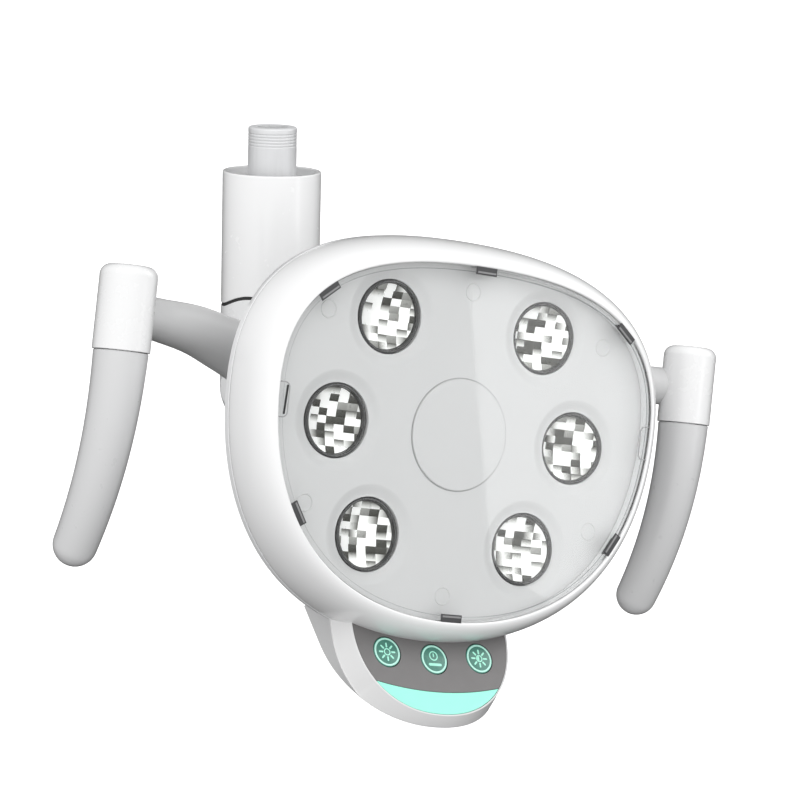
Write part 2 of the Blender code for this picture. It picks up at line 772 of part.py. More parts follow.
def clip_frame(angle):
    """Place of a lens clip: its point on the opening's edge, and the turn that brings local Z outward."""
    direction = Vector((math.cos(math.radians(angle)), math.sin(math.radians(angle))))
    outline = shield()
    nearest, normal = max(zip(outline, normals(outline)), key=lambda pair: pair[0].normalized().dot(direction))
    return Vector((nearest.x, 0, nearest.y)), math.atan2(normal.x, normal.y)


def build_bezel(head):
    """The white rim: a rolled section swept round the opening, with pockets for the lens clips."""
    inner_foot = ring_at(shield(), -0.0004)
    lip_inner = ring_at(shield(), LIP_DEPTH + 0.0005)
    lip_front = ring_at(shield(0.0009), LIP_DEPTH)
    back = [
        ring_at(shield(-SHELL_WALL, 1.0), SEAM_DEPTH),
        ring_at(shield(-0.0026, 1.0), 0.0078),
        ring_at(shield(0.0048), -0.0012),
        ring_at(shield(0.0024), -0.0004),
    ]
    bezel = loft("front_bezel", [inner_foot, lip_inner, lip_front] + rim_rings() + back, closed=True)
    for i, angle in enumerate(CLIP_ANGLES):
        spot, turn = clip_frame(angle)
        pocket = box(f"clip_pocket_{i + 1}", (CLIP_WIDTH + 0.0008, 0.0080, 0.0056), (0, -0.0065, -0.0014))
        boolean(bezel, tool(pocket, head, location=spot, rotation=(0, turn, 0)))
    place(bezel, head, "white_plastic")


def build_clips(head):
    """Each clip is a tongue over the lens's edge, on a leg that stands in its pocket."""
    for i, angle in enumerate(CLIP_ANGLES):
        spot, turn = clip_frame(angle)
        tongue = (CLIP_WIDTH, CLIP_THICKNESS, CLIP_REACH + 0.0001)
        clip = box(f"lens_clip_{i + 1}", tongue, (0, CLIP_DEPTH, (0.0001 - CLIP_REACH) / 2))
        leg = box(f"clip_leg_{i + 1}", (CLIP_WIDTH - 0.002, 0.0068, 0.0008), (0, -0.0066, 0.0004))
        boolean(clip, tool(leg, head, location=spot, rotation=(0, turn, 0)), "UNION")
        place(clip, head, "dark_plastic", location=spot, rotation=(0, turn, 0))


def build_rear_shell(head):
    outer = dome_rings(0.0, SHELL_BACK)
    inner = dome_rings(-SHELL_WALL, SHELL_BACK - SHELL_WALL)
    place(loft("rear_shell", outer + inner[::-1], closed=True), head, "white_plastic")


def module_place(index):
    """Angle round the face, then the place of one light module's front."""
    side = 1 if index < MODULES // 2 else -1
    angle = MODULE_STEP * (1 - index % (MODULES // 2))
    return Vector((side * MODULE_RING * math.cos(angle), MODULE_DEPTH, MODULE_RING * math.sin(angle)))


def module_aim(spot):
    """Turns a module's local Z towards the shared focus in front of the face."""
    focus = Vector((0, -FOCUS_DISTANCE, 0))
    return (focus - spot).to_track_quat("Z", "Y").to_euler()


def emitter_place(index):
    """Where a module's axis meets the board, as a place on the face plane."""
    spot = module_place(index)
    aim = (Vector((0, -FOCUS_DISTANCE, 0)) - spot).normalized()
    meeting = spot - aim * REFLECTOR_DEPTH
    return Vector((meeting.x, 0, meeting.z))


def build_face_panel(head):
    """The light grey panel behind the lens, with a dished seat round each module."""
    panel = flat("face_panel", shield(0.0040), FACE_THICKNESS, FACE_THICKNESS / 2)
    for i in range(MODULES):
        spot = module_place(i)
        spot.y = 0
        seat = cylinder(f"module_seat_{i + 1}", DISH_RADIUS + 0.0018, 0.0008, 0.0060, "Y", 16, top_radius=0.0202)
        boolean(panel, tool(seat, head, location=spot), "UNION")
    for i in range(MODULES):
        spot = module_place(i)
        spot.y = 0
        dish = cylinder(f"module_dish_{i + 1}", DISH_RADIUS + 0.0021, -0.0006, DISH_DEPTH, "Y", 16, top_radius=0.0183)
        boolean(panel, tool(dish, head, location=spot))
        hole = cylinder(f"module_hole_{i + 1}", RIM_OUTER + GAP + 0.0002, -0.0120, 0.0030, segments=16)
        boolean(panel, tool(hole, head, location=module_place(i), rotation=module_aim(module_place(i))))
    boolean(panel, tool(cylinder("centre_hole", CAP_RADIUS - 0.0010, -0.01, 0.01, "Y", 24), head))
    place(panel, head, "grey_plastic")
    cap = [
        (0, 0.0009),
        (CAP_RADIUS, 0.0009),
        (CAP_RADIUS, GAP),
        (CAP_RADIUS - 0.0014, GAP),
        (CAP_RADIUS - 0.0014, -0.0030),
        (0, -0.0030),
    ]
    place(turned("centre_cap", cap), head, "grey_plastic", rotation=FACING)


def build_lens(head):
    place(flat("lens_cover", shield(-0.0004), LENS_THICKNESS, LENS_DEPTH), head, "clear")


def build_modules(head):
    rim = sleeve_profile(RIM_INNER, RIM_OUTER, -0.0040, 0.0004)
    bowl = [
        (REFLECTOR_RADIUS, -0.0003),
        (0.0144, -0.0120),
        (0.0100, -REFLECTOR_DEPTH),
        (0.0052, -REFLECTOR_DEPTH),
        (REFLECTOR_RADIUS - 0.0012, -0.0003),
    ]
    for i in range(MODULES):
        spot = module_place(i)
        aim = module_aim(spot)
        place(turned(f"led_rim_{i + 1}", rim, 16), head, "dark_plastic", location=spot, rotation=aim)
        place(turned(f"led_reflector_{i + 1}", bowl, 16), head, "mirror", location=spot, rotation=aim)


def build_led_board(head):
    """The metal-core board with six emitters that reach into the reflectors."""
    board = flat("led_board", shield(-0.0100), 0.0016, BOARD_DEPTH)
    for i in range(MODULES):
        emitter = cylinder(f"emitter_{i + 1}", 0.0036, 0.0215, 0.0260, "Y", 10)
        boolean(board, tool(emitter, head, location=emitter_place(i)), "UNION")
    place(board, head, "aluminium")


def build_heat_sink(head):
    """A finned plate behind the board. The yoke's nose bears on its solid middle."""
    sink = flat("heat_sink", shield(-0.0120), SINK_THICKNESS, SINK_DEPTH)
    for i, x in enumerate((0.0340, 0.0540, 0.0740)):
        for sign in (-1, 1):
            channel = box(f"channel_{i + 1}_{'left' if sign < 0 else 'right'}", (0.0140, 0.0120, 0.3))
            boolean(sink, tool(channel, head, location=(sign * x, 0.0370, 0)))
    place(sink, head, "aluminium")


def build_driver_board(head):
    """The LED driver: a board with one block for its inductor and connectors."""
    board = box("driver_board", (0.0560, 0.0016, 0.0340), (0, 0, 0))
    block = box("driver_block", (0.0300, 0.0070, 0.0180), (0, 0.0040, 0))
    boolean(board, tool(block, head, location=DRIVER_PLACE), "UNION")
    place(board, head, "circuit", location=DRIVER_PLACE)


# Key pod

def head_room(head):
    """The whole head's outer form with a small gap round it, to trim the pod where the two meet."""
    front = ring_at(shield(GAP, 0.1), LIP_DEPTH - GAP)
    rings = [front] + rim_rings(GAP) + dome_rings(GAP, SHELL_BACK + GAP)
    return tool(loft("head_room", rings), head)


def pod_ring(offset, depth, wedge=0.0):
    """The panel's outline moved outward and back. The wedge sends it further back towards the top."""
    foot = PANEL_RISE - PANEL_DROP - offset
    return [Vector((point.x, depth + wedge * (point.y - foot), point.y)) for point in panel_outline(offset)]


def build_pod_housing(pod, trim):
    skin = [
        pod_ring(0.0005, 0.0000),
        pod_ring(0.0030, 0.0024),
        pod_ring(0.0046, 0.0065, 0.1500),
        pod_ring(0.0036, 0.0078, POD_WEDGE),
    ]
    hollow = [
        pod_ring(-0.0020, -0.0050),
        pod_ring(-0.0020, 0.0058, POD_WEDGE - 0.0500),
    ]
    housing = loft("pod_housing", skin)
    recess = flat("panel_recess", panel_outline(), 0.0123, PANEL_LEDGE - 0.0123 / 2)
    boolean(housing, tool(loft("pod_hollow", hollow), pod))
    boolean(housing, tool(recess, pod))
    place(boolean(housing, trim), pod, "white_plastic")


def build_touch_panel(pod, trim):
    """Dark panel with three key holes, and the accent strip below it. An arc divides the two."""
    arc_height = ACCENT_TOP + ACCENT_RADIUS
    for name, colour, operation, radius in (
        ("touch_panel", "panel_grey", "INTERSECT", ACCENT_RADIUS - GAP / 2),
        ("accent_strip", "mint", "DIFFERENCE", ACCENT_RADIUS + GAP / 2),
    ):
        plate = flat(name, panel_outline(-GAP), PANEL_THICKNESS, PANEL_SINK)
        arc = cylinder(f"{name}_arc", radius, -0.02, 0.02, "Y", 160)
        boolean(plate, tool(arc, pod, location=(0, 0, arc_height)), operation)
        if name == "touch_panel":
            for key, x, height in KEY_PLACES:
                hole = cylinder(f"{key}_hole", KEY_RADIUS + GAP, -0.01, 0.01, "Y", 20)
                boolean(plate, tool(hole, pod, location=(x, 0, height)))
        place(boolean(plate, trim), pod, colour)


def build_keys(pod, trim):
    """Three translucent keys, and the board behind them with one switch dome for each."""
    board = flat("key_board", panel_outline(-0.0035, top=0.0160), 0.0012, KEY_BOARD_DEPTH)
    for key, x, height in KEY_PLACES:
        cap = cylinder(key, KEY_RADIUS, -PANEL_THICKNESS / 2, PANEL_THICKNESS / 2, "Y", 20)
        place(cap, pod, "key_teal", location=(x, PANEL_SINK, height))
        dome = cylinder(f"{key}_switch", 0.0025, SWITCH_TOP, KEY_BOARD_DEPTH, "Y", 12)
        boolean(board, tool(dome, pod, location=(x, 0, height)), "UNION")
    place(boolean(board, trim), pod, "circuit")


# Handles

def build_handle_cap(frame, side, sign):
    """The white hollow cap over the arm's end eye."""
    profile = [(0, CAP_TOP)]
    for i in range(4):
        turn = math.pi / 2 * i / 3
        radius = HANDLE_CAP_RADIUS - CAP_EDGE + CAP_EDGE * math.sin(turn)
        profile.append((radius, CAP_TOP - CAP_EDGE + CAP_EDGE * math.cos(turn)))
    ceiling = CAP_TOP - 0.0024
    inner = HANDLE_CAP_RADIUS - 0.0017
    profile += [
        (HANDLE_CAP_RADIUS, CAP_SEAM),
        (inner, CAP_SEAM),
        (inner, ceiling - 0.0030),
        (inner - 0.0030, ceiling),
        (0, ceiling),
    ]
    cap = turned(f"handle_cap_{side}", profile, 20)
    low, high = sorted((-sign * 0.0300, 0))
    arm_way = cylinder(f"arm_way_{side}", 0.0112, low, high, "X", 16)
    boolean(cap, tool(arm_way, frame, location=(0, 0, ARM_HEIGHT), rotation=(0, 0, -sign * ARM_ENTRY)))
    place(cap, frame, "white_plastic")


def build_grip_core(frame, side):
    """The metal core that is bolted up through the arm's eye and carries the grip."""
    profile = [
        (0, 0.0565),
        (0.0060, 0.0565),
        (0.0060, 0.0281),
        (0.0105, 0.0281),
        (0.0105, 0.0250),
        (CORE_RADIUS, 0.0250),
        (CORE_RADIUS, CAP_SEAM - CORE_REACH + 0.0010),
        (CORE_RADIUS - 0.0010, CAP_SEAM - CORE_REACH),
        (0, CAP_SEAM - CORE_REACH),
    ]
    place(turned(f"grip_core_{side}", profile, 14), frame, "aluminium")


def grip_stations():
    """The grip's path below the seam: straight over the core, then swept back, with a round end."""
    path = []
    for i in range(121):
        drop = GRIP_LENGTH * i / 120
        path.append(Vector((GRIP_SWEEP * (drop / GRIP_LENGTH) ** GRIP_SWEEP_POWER, -drop)))
    stations = [(Vector((0, 0)), GRIP_RADIUS), (Vector((0, -0.0040)), GRIP_RADIUS)]
    count = 9
    for i, point in enumerate(resample(path, count)[1:], 1):
        share = i / count
        stations.append((point, GRIP_RADIUS + (GRIP_TIP_RADIUS - GRIP_RADIUS) * share))
    tip, radius = stations[-1]
    heading = (path[-1] - path[-2]).normalized()
    for turn in (math.radians(angle) for angle in (25, 48, 68, 84)):
        stations.append((tip + heading * radius * math.sin(turn), radius * math.cos(turn)))
    return [(0, point.x, point.y, radius) for point, radius in stations]


def build_grip(frame, side):
    grip = tube(f"grip_{side}", grip_stations(), 3)
    socket = cylinder(f"grip_socket_{side}", CORE_RADIUS + GAP, -CORE_REACH - 0.0020, 0.0100, segments=16)
    boolean(grip, tool(socket, frame, location=(0, 0, CAP_SEAM)))
    place(grip, frame, "grip_plastic", location=(0, 0, CAP_SEAM - GAP))


def build_handles(head):
    for side, sign in (("left", -1), ("right", 1)):
        frame = empty(f"handle_axis_{side}", head, (sign * HANDLE_X, HANDLE_Y, 0))
        build_handle_cap(frame, side, sign)
        build_grip_core(frame, side)
        build_grip(frame, side)


# The lamp

clear_scene()
lamp = new_collection("dental_operating_light")
tools = new_collection("cutters")

swivel_axis = empty("swivel_axis", None, (0, 0, -TILT_DEPTH))
build_spigot(swivel_axis)
build_sleeve(swivel_axis)
build_elbow(swivel_axis)
build_swivel_bushes(swivel_axis)
build_tilt_hardware(swivel_axis)

tilt_axis = empty("tilt_axis", swivel_axis, rotation=(-HEAD_PITCH, 0, 0))
build_neck(tilt_axis)

roll_axis = empty("roll_axis", tilt_axis, rotation=(0, HEAD_ROLL, 0))
build_roll_fasteners(tilt_axis)

face = empty("face", roll_axis, (0, -HEAD_REACH, -HUB_HEIGHT))
build_yoke(face)
build_roll_bushes(face)
build_bezel(face)
build_clips(face)
build_rear_shell(face)
build_face_panel(face)
build_lens(face)
build_modules(face)
build_led_board(face)
build_heat_sink(face)
build_driver_board(face)

pod_plane = empty("pod_plane", face, POD_CENTRE, (-POD_TILT, 0, 0))
head_form = head_room(face)
build_pod_housing(pod_plane, head_form)
build_touch_panel(pod_plane, head_form)
build_keys(pod_plane, head_form)
build_handles(face)
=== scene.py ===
"""Looks for the dental operating light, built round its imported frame.

The head's own frame has x to the right of a person who faces the lamp, y away from that person and z up.
Its origin is on the face, at the centre of the middle cap. All lengths are in metres.
"""

import json
import math

import bmesh
import bpy
import numpy as np
from mathutils import Matrix, Vector


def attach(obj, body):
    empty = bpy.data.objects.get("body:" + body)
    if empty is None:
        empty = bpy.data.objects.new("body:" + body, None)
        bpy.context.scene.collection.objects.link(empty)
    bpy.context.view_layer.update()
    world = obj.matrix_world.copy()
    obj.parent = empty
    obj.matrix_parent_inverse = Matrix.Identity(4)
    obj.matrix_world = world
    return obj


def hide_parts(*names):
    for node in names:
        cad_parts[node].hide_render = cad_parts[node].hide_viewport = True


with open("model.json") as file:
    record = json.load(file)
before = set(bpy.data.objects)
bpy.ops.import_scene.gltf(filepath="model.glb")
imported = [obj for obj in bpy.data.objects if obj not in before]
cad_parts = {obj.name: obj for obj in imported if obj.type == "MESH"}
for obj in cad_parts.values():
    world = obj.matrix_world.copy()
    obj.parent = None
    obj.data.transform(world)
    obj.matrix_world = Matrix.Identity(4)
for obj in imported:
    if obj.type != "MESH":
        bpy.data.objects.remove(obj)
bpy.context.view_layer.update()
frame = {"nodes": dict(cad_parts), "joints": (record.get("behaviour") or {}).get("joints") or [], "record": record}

AXIS_RADIUS = 0.00001
WELD_DISTANCE = 0.000004
SHARP_ANGLE = 32

# The design's driving sizes
HUB_HEIGHT = 0.0200
HEAD_REACH = 0.1881
OPENING_TOP = 0.0824
OPENING_FOOT = 0.0914
OPENING_SIDE = 0.1099
OPENING_SHOULDER = 0.0146
TOP_PULL = 0.0510
SHOULDER_PULL = 0.0595
FLANK_PULL = 0.0765
FOOT_PULL = 0.0580
RIM_SIDE = 0.0098
RIM_TOP = 0.0136
RIM_FOOT = 0.0125
LIP_DEPTH = -0.0102
SEAM_DEPTH = 0.0205
SHELL_SKIRT = 0.0033
SHELL_BACK = 0.0643
SHELL_WALL = 0.0022
SHELL_HOLE = 0.0240
DOME_START = math.radians(30.0)
LENS_FRONT = -0.0089
LENS_BACK = -0.0073
GAP = 0.0003
MODULES = 6
MODULE_RING = 0.0700
MODULE_STEP = math.radians(49.0)
MODULE_DEPTH = 0.0020
FOCUS_DISTANCE = 0.8400
RIM_OUTER = 0.0178
RIM_INNER = 0.0163
DISH_RADIUS = 0.0245
CAP_RADIUS = 0.0275
TAB_HEIGHT = 0.0066
TAB_HALF = 0.0083
TAB_REACH = 0.0058
TAB_CORNER = 0.0026
CLIP_ANGLES = (90.0, 34.2, -26.3, -90.0, -153.7, 145.8)
POD_CENTRE = Vector((0.0, 0.0010, -0.1103))
PANEL_HALF_WIDTH = 0.0452
PANEL_RISE = 0.0150
PANEL_DROP = 0.0436
PANEL_POWER = 2.2
PANEL_TOP = 0.0375
ACCENT_TOP = -0.0171
ACCENT_RADIUS = 0.1640
POD_WEDGE = 0.3800
POD_BAND = 0.0122
POD_SHADE_FIRST_RING = 7
KEY_RADIUS = 0.0077
KEY_PLACES = (("brightness", -0.0272, 0.0021), ("power", 0.0, 0.0), ("mode", 0.0272, 0.0021))
HANDLE_X = 0.1691
HANDLE_Y = 0.0403
CAP_SEAM = 0.0215
CAP_TOP = 0.0622
HANDLE_CAP_RADIUS = 0.0139
GRIP_RADIUS = 0.0132
GRIP_TIP_RADIUS = 0.0108
GRIP_LENGTH = 0.0930
GRIP_SWEEP = 0.0255
GRIP_SWEEP_POWER = 2.2
ARM_PATH = (  # x, y, z and radius along one arm, from the hub out
    (0.0200, 0.0880, 0.0200, 0.0190),
    (0.0600, 0.0860, 0.0255, 0.0170),
    (0.0900, 0.0800, 0.0327, 0.0142),
    (0.1130, 0.0720, 0.0376, 0.0124),
    (0.1380, 0.0610, 0.0394, 0.0107),
    (0.1560, 0.0500, 0.0400, 0.0100),
    (0.1691, 0.0403, 0.0400, 0.0098),
)
SPIGOT_RADIUS = 0.0130
TUBE_RADIUS = 0.0263
SLEEVE_WALL = 0.0020
SLEEVE_TOP = 0.1165
SEAM_HEIGHT = 0.0440
SEAM_ARCH = 0.0064
FACET_WIDE = 0.0054
FACET_TALL = 0.0036
FACET_CELLS = 4
BOWL_DEPTH = 0.0030
# Painted reflection: each kind's corner brightness stands in for the light and dark surroundings that the mirror
# facets reflect.
FACET_REFLECTION_KINDS = (  # upper limit of the draw, and the brightness at the facet's four corners
    (0.42, (1.0, 1.0, 1.0, 1.0)),
    (0.54, (0.26, 0.22, 0.30, 0.40)),
    (0.71, (0.03, 0.02, 0.05, 0.08)),
    (0.81, (1.0, 0.9, 0.05, 0.03)),
    (0.90, (0.04, 0.9, 1.0, 0.08)),
    (1.00, (0.9, 0.10, 0.03, 0.8)),
)

# Studio sizes
CAMERA_PLACE = Vector((-0.85607, -1.43174, 0.18370))
CARD_DISTANCE = 0.60
CARD_SHADOW = ((-0.0085, 0.075), (0.0215, -0.060), (0.1300, -0.110), (0.1300, 0.100))
FLOOR_REACH = 40.0
FLOOR_DROP = 1.2
LENS_LENGTH = 141.32

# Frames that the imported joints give
joints = {joint["name"]: joint for joint in frame["joints"]}
pivot = Vector(joints["tilt"]["pos_m"])


def axes_matrix(x, y, z, origin):
    matrix = Matrix((x, y, z)).transposed().to_4x4()
    matrix.translation = origin
    return matrix


head_y = Vector(joints["roll"]["axis"]).normalized()
head_z = -Vector(joints["left_grip_release"]["axis"]).normalized()
head_x = head_y.cross(head_z).normalized()
HEAD = axes_matrix(head_x, head_y, head_z, pivot - head_y * HEAD_REACH - head_z * HUB_HEIGHT)
pod_y = Vector(joints["power_press"]["axis"]).normalized()
POD = axes_matrix(head_x, pod_y, head_x.cross(pod_y), HEAD @ POD_CENTRE)
NECK = axes_matrix(Vector((1, 0, 0)), head_y, Vector((1, 0, 0)).cross(head_y), pivot)
STEM = Matrix.Translation(pivot)
TOWARDS_VIEWER = Matrix.Rotation(math.pi / 2, 4, "X")


# Shapes: each is (vertices, faces), so that several can make one piece

def skin(rings, closed=False, cap_start=True):
    """A surface over rings of equal length: closed on itself, or with its ends capped."""
    count = len(rings[0])
    verts = [tuple(point) for ring in rings for point in ring]
    faces = []
    last = len(rings) if closed else len(rings) - 1
    for r in range(last):
        a = r * count
        b = ((r + 1) % len(rings)) * count
        for i in range(count):
            j = (i + 1) % count
            faces.append((a + i, a + j, b + j, b + i))
    if not closed:
        if cap_start:
            faces.append(tuple(range(count - 1, -1, -1)))
        faces.append(tuple(range((len(rings) - 1) * count, len(rings) * count)))
    return verts, faces


def circle(radius, x=0.0, z=0.0, count=96):
    turns = [2 * math.pi * i / count for i in range(count)]
    return [(x + radius * math.cos(turn), z + radius * math.sin(turn)) for turn in turns]


def lathe(profile, segments=112):
    """A turned shape about local Z from (radius, height) points, solid if either end is on the axis."""
    rings = []
    for radius, height in profile:
        rings.append([(x, y, height) for x, y in circle(max(radius, AXIS_RADIUS), count=segments)])
    solid = profile[0][0] <= 0 or profile[-1][0] <= 0
    return skin(rings, closed=not solid)


def rod(radius, top, foot, segments):
    """A plain cylinder, used as a cutter."""
    return lathe([(0, top), (radius, top), (radius, foot), (0, foot)], segments)


def shift(x, y, z):
    return Matrix.Translation((x, y, z))


def moved(shape, matrix):
    verts, faces = shape
    return [tuple(matrix @ Vector(v)) for v in verts], faces


def arc(centre, radius, start, end, steps=6):
    """Points of a fillet in a profile, between two angles in degrees."""
    points = []
    for i in range(steps + 1):
        turn = math.radians(start + (end - start) * i / steps)
        points.append((centre[0] + radius * math.cos(turn), centre[1] + radius * math.sin(turn)))
    return points


def sweep(path, radii, sides):
    """A round bar along a path of points, with frames carried along it without twisting."""
    path = [Vector(p) for p in path]
    rings = []
    side = None
    for i, point in enumerate(path):
        along = (path[min(i + 1, len(path) - 1)] - path[max(i - 1, 0)]).normalized()
        if side is None:
            side = along.orthogonal().normalized()
        side = (side - along * side.dot(along)).normalized()
        up = along.cross(side)
        rings.append([point + (side * a + up * b) * radii[i] for a, b in circle(1.0, count=sides)])
    return skin(rings)


def evaluated_mesh(obj):
    """A new mesh with the object's modifiers or curve settings applied."""
    bpy.context.view_layer.update()
    return bpy.data.meshes.new_from_object(obj.evaluated_get(bpy.context.evaluated_depsgraph_get()))


def plate(outlines, thickness, depth, bevel=0.0):
    """A flat piece in the x-z plane centred on y = depth. Outlines after the first are holes."""
    curve = bpy.data.curves.new("plate", "CURVE")
    curve.dimensions = "2D"
    curve.fill_mode = "BOTH"
    curve.extrude = thickness / 2 - bevel
    curve.bevel_depth = bevel
    curve.bevel_resolution = 2
    curve.offset = -bevel
    for outline in outlines:
        spline = curve.splines.new("POLY")
        spline.points.add(len(outline) - 1)
        for point, (x, z) in zip(spline.points, outline):
            point.co = (x, z, 0.0, 1.0)
        spline.use_cyclic_u = True
    guide = bpy.data.objects.new("plate", curve)
    bpy.context.scene.collection.objects.link(guide)
    mesh = evaluated_mesh(guide)
    bpy.data.objects.remove(guide)
    bpy.data.curves.remove(curve)
    verts = [(v.co.x, depth - v.co.z, v.co.y) for v in mesh.vertices]
    faces = [tuple(polygon.vertices) for polygon in mesh.polygons]
    bpy.data.meshes.remove(mesh)
    return verts, faces


def make(name, shapes, matrix=Matrix(), sharp=SHARP_ANGLE, weld=True):
    """One mesh object from shapes, with outward faces and smooth shading between its sharp edges."""
    verts = []
    faces = []
    for shape_verts, shape_faces in shapes:
        base = len(verts)
        verts += shape_verts
        faces += [tuple(base + i for i in face) for face in shape_faces]
    mesh = bpy.data.meshes.new(name)
    mesh.from_pydata(verts, [], faces)
    bm = bmesh.new()
    bm.from_mesh(mesh)
    if weld:
        bmesh.ops.remove_doubles(bm, verts=bm.verts, dist=WELD_DISTANCE)
    bmesh.ops.recalc_face_normals(bm, faces=bm.faces)
    bm.to_mesh(mesh)
    bm.free()
    mesh.shade_smooth()
    mesh.set_sharp_from_angle(angle=math.radians(sharp))
    obj = bpy.data.objects.new(name, mesh)
    bpy.context.scene.collection.objects.link(obj)
    obj.matrix_world = matrix
    return obj


def cut(obj, shapes, matrix, operation="DIFFERENCE"):
    """Applies one Boolean to a piece, and removes the cutter."""
    cutter = make(obj.name + "_cutter", shapes, matrix)
    modifier = obj.modifiers.new("cut", "BOOLEAN")
    modifier.operation = operation
    modifier.solver = "EXACT"
    modifier.object = cutter
    mesh = evaluated_mesh(obj)
    obj.modifiers.clear()
    obj.data = mesh
    bpy.data.objects.remove(cutter)
    mesh.shade_smooth()
    mesh.set_sharp_from_angle(angle=math.radians(SHARP_ANGLE))


def finish(obj, body, slot, *nodes, material=None):
    """Puts a piece's mesh in the row frame, dresses it in its slot's material or the one given, ties it to its
    body and hides the CAD nodes it replaces.
    """
    obj.data.transform(obj.matrix_world)
    obj.matrix_world = Matrix()
    obj.data.materials.clear()
    obj.data.materials.append(material or MATERIALS[slot])
    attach(obj, body)
    if nodes:
        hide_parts(*nodes)


# Materials

def new_material(name):
    material = bpy.data.materials.new(name)
    material.use_nodes = True
    tree = material.node_tree
    shader = tree.nodes["Principled BSDF"]
    return material, tree, shader


def set_inputs(node, **inputs):
    """Sets a node's inputs, whose names are written with an underscore for each space."""
    for key, value in inputs.items():
        node.inputs[key.replace("_", " ")].default_value = value


def add(tree, kind, **inputs):
    node = tree.nodes.new("ShaderNode" + kind)
    set_inputs(node, **inputs)
    return node


def noise(tree, scale, detail=3.0, stretch=(1, 1, 1)):
    """Noise in the piece's own metres, drawn out along an axis where stretch is small."""
    coordinates = add(tree, "TexCoord")
    mapping = add(tree, "Mapping", Scale=stretch)
    texture = add(tree, "TexNoise", Scale=scale, Detail=detail)
    tree.links.new(coordinates.outputs["Object"], mapping.inputs["Vector"])
    tree.links.new(mapping.outputs["Vector"], texture.inputs["Vector"])
    return texture.outputs["Fac"]


def ranged(tree, value, low, high, start=0.3, end=0.7):
    """Maps a value from start to end onto low to high. The middle of the noise lies from 0.3 to 0.7."""
    node = add(tree, "MapRange", To_Min=low, To_Max=high, From_Min=start, From_Max=end)
    tree.links.new(value, node.inputs["Value"])
    return node.outputs["Result"]


def mix_colour(tree, factor, first, second, blend="MIX"):
    """Mixes two colours, each given as a value or a socket."""
    node = add(tree, "Mix")
    node.data_type = "RGBA"
    node.blend_type = blend
    if hasattr(factor, "links"):
        tree.links.new(factor, node.inputs[0])
    else:
        node.inputs[0].default_value = factor
    for socket, colour in ((node.inputs[6], first), (node.inputs[7], second)):
        if hasattr(colour, "links"):
            tree.links.new(colour, socket)
        else:
            socket.default_value = (*colour, 1.0)
    return node.outputs[2]


def add_bump(tree, shader, height, strength, distance):
    bump = add(tree, "Bump", Strength=strength, Distance=distance)
    tree.links.new(height, bump.inputs["Height"])
    tree.links.new(bump.outputs["Normal"], shader.inputs["Normal"])


def moulded(name, colour, roughness, grain=2600.0, bump=0.06, coat=0.0, drift=0.03, painted_edge_shade=0.0):
    """Moulded plastic or enamel, with fine orange peel, a tone and roughness that drift a little, and optional
    painted shade that darkens the colour towards the silhouette.
    """
    material, tree, shader = new_material(name)
    slow = noise(tree, 14.0)
    darker = tuple(c * (1 - drift) for c in colour)
    tone = mix_colour(tree, slow, darker, colour)
    # Painted shade: the colour darkens towards grazing angles, standing for the dark surroundings that the edges
    # would reflect.
    if painted_edge_shade:
        facing = add(tree, "LayerWeight", Blend=0.35).outputs["Facing"]
        painted_edge_shade_tone = tuple(c * 0.35 for c in colour)
        tone = mix_colour(tree, ranged(tree, facing, 0.0, painted_edge_shade, 0.35, 1.0), tone, painted_edge_shade_tone)
    tree.links.new(tone, shader.inputs["Base Color"])
    rough = ranged(tree, noise(tree, 180.0), roughness * 0.85, roughness * 1.15)
    tree.links.new(rough, shader.inputs["Roughness"])
    set_inputs(shader, Coat_Weight=coat, Coat_Roughness=0.08)
    add_bump(tree, shader, noise(tree, grain, 2.0), bump, 0.0002)
    return material


def metal(name, colour, roughness, stretch=(1, 1, 0.03), grain=900.0, bump=0.10, metallic=1.0):
    """Turned or brushed metal, with its tool marks drawn out across the axis."""
    material, tree, shader = new_material(name)
    set_inputs(shader, Metallic=metallic)
    lines = noise(tree, grain, 4.0, stretch)
    tone = mix_colour(tree, lines, tuple(c * 0.86 for c in colour), colour)
    tree.links.new(tone, shader.inputs["Base Color"])
    tree.links.new(ranged(tree, lines, roughness * 0.8, roughness * 1.2), shader.inputs["Roughness"])
    add_bump(tree, shader, lines, bump, 0.0001)
    return material


def clear_material(name, tint, haze):
    """Clear polycarbonate: see-through, with a reflection that grows towards grazing angles."""
    material, tree, shader = new_material(name)
    link = tree.links.new
    tree.nodes.remove(shader)
    through = add(tree, "BsdfTransparent", Color=(*tint, 1.0))
    gloss = add(tree, "BsdfAnisotropic", Color=(1, 1, 1, 1))
    facing = add(tree, "LayerWeight", Blend=0.12)
    amount = add(tree, "Math")
    amount.operation = "MULTIPLY_ADD"
    amount.inputs[1].default_value = 0.9
    amount.inputs[2].default_value = haze
    blend = add(tree, "MixShader")
    link(facing.outputs["Fresnel"], amount.inputs[0])
    link(ranged(tree, noise(tree, 60.0), 0.02, 0.05), gloss.inputs["Roughness"])
    link(amount.outputs[0], blend.inputs[0])
    link(through.outputs[0], blend.inputs[1])
    link(gloss.outputs[0], blend.inputs[2])
    link(blend.outputs[0], tree.nodes["Material Output"].inputs["Surface"])
    return material


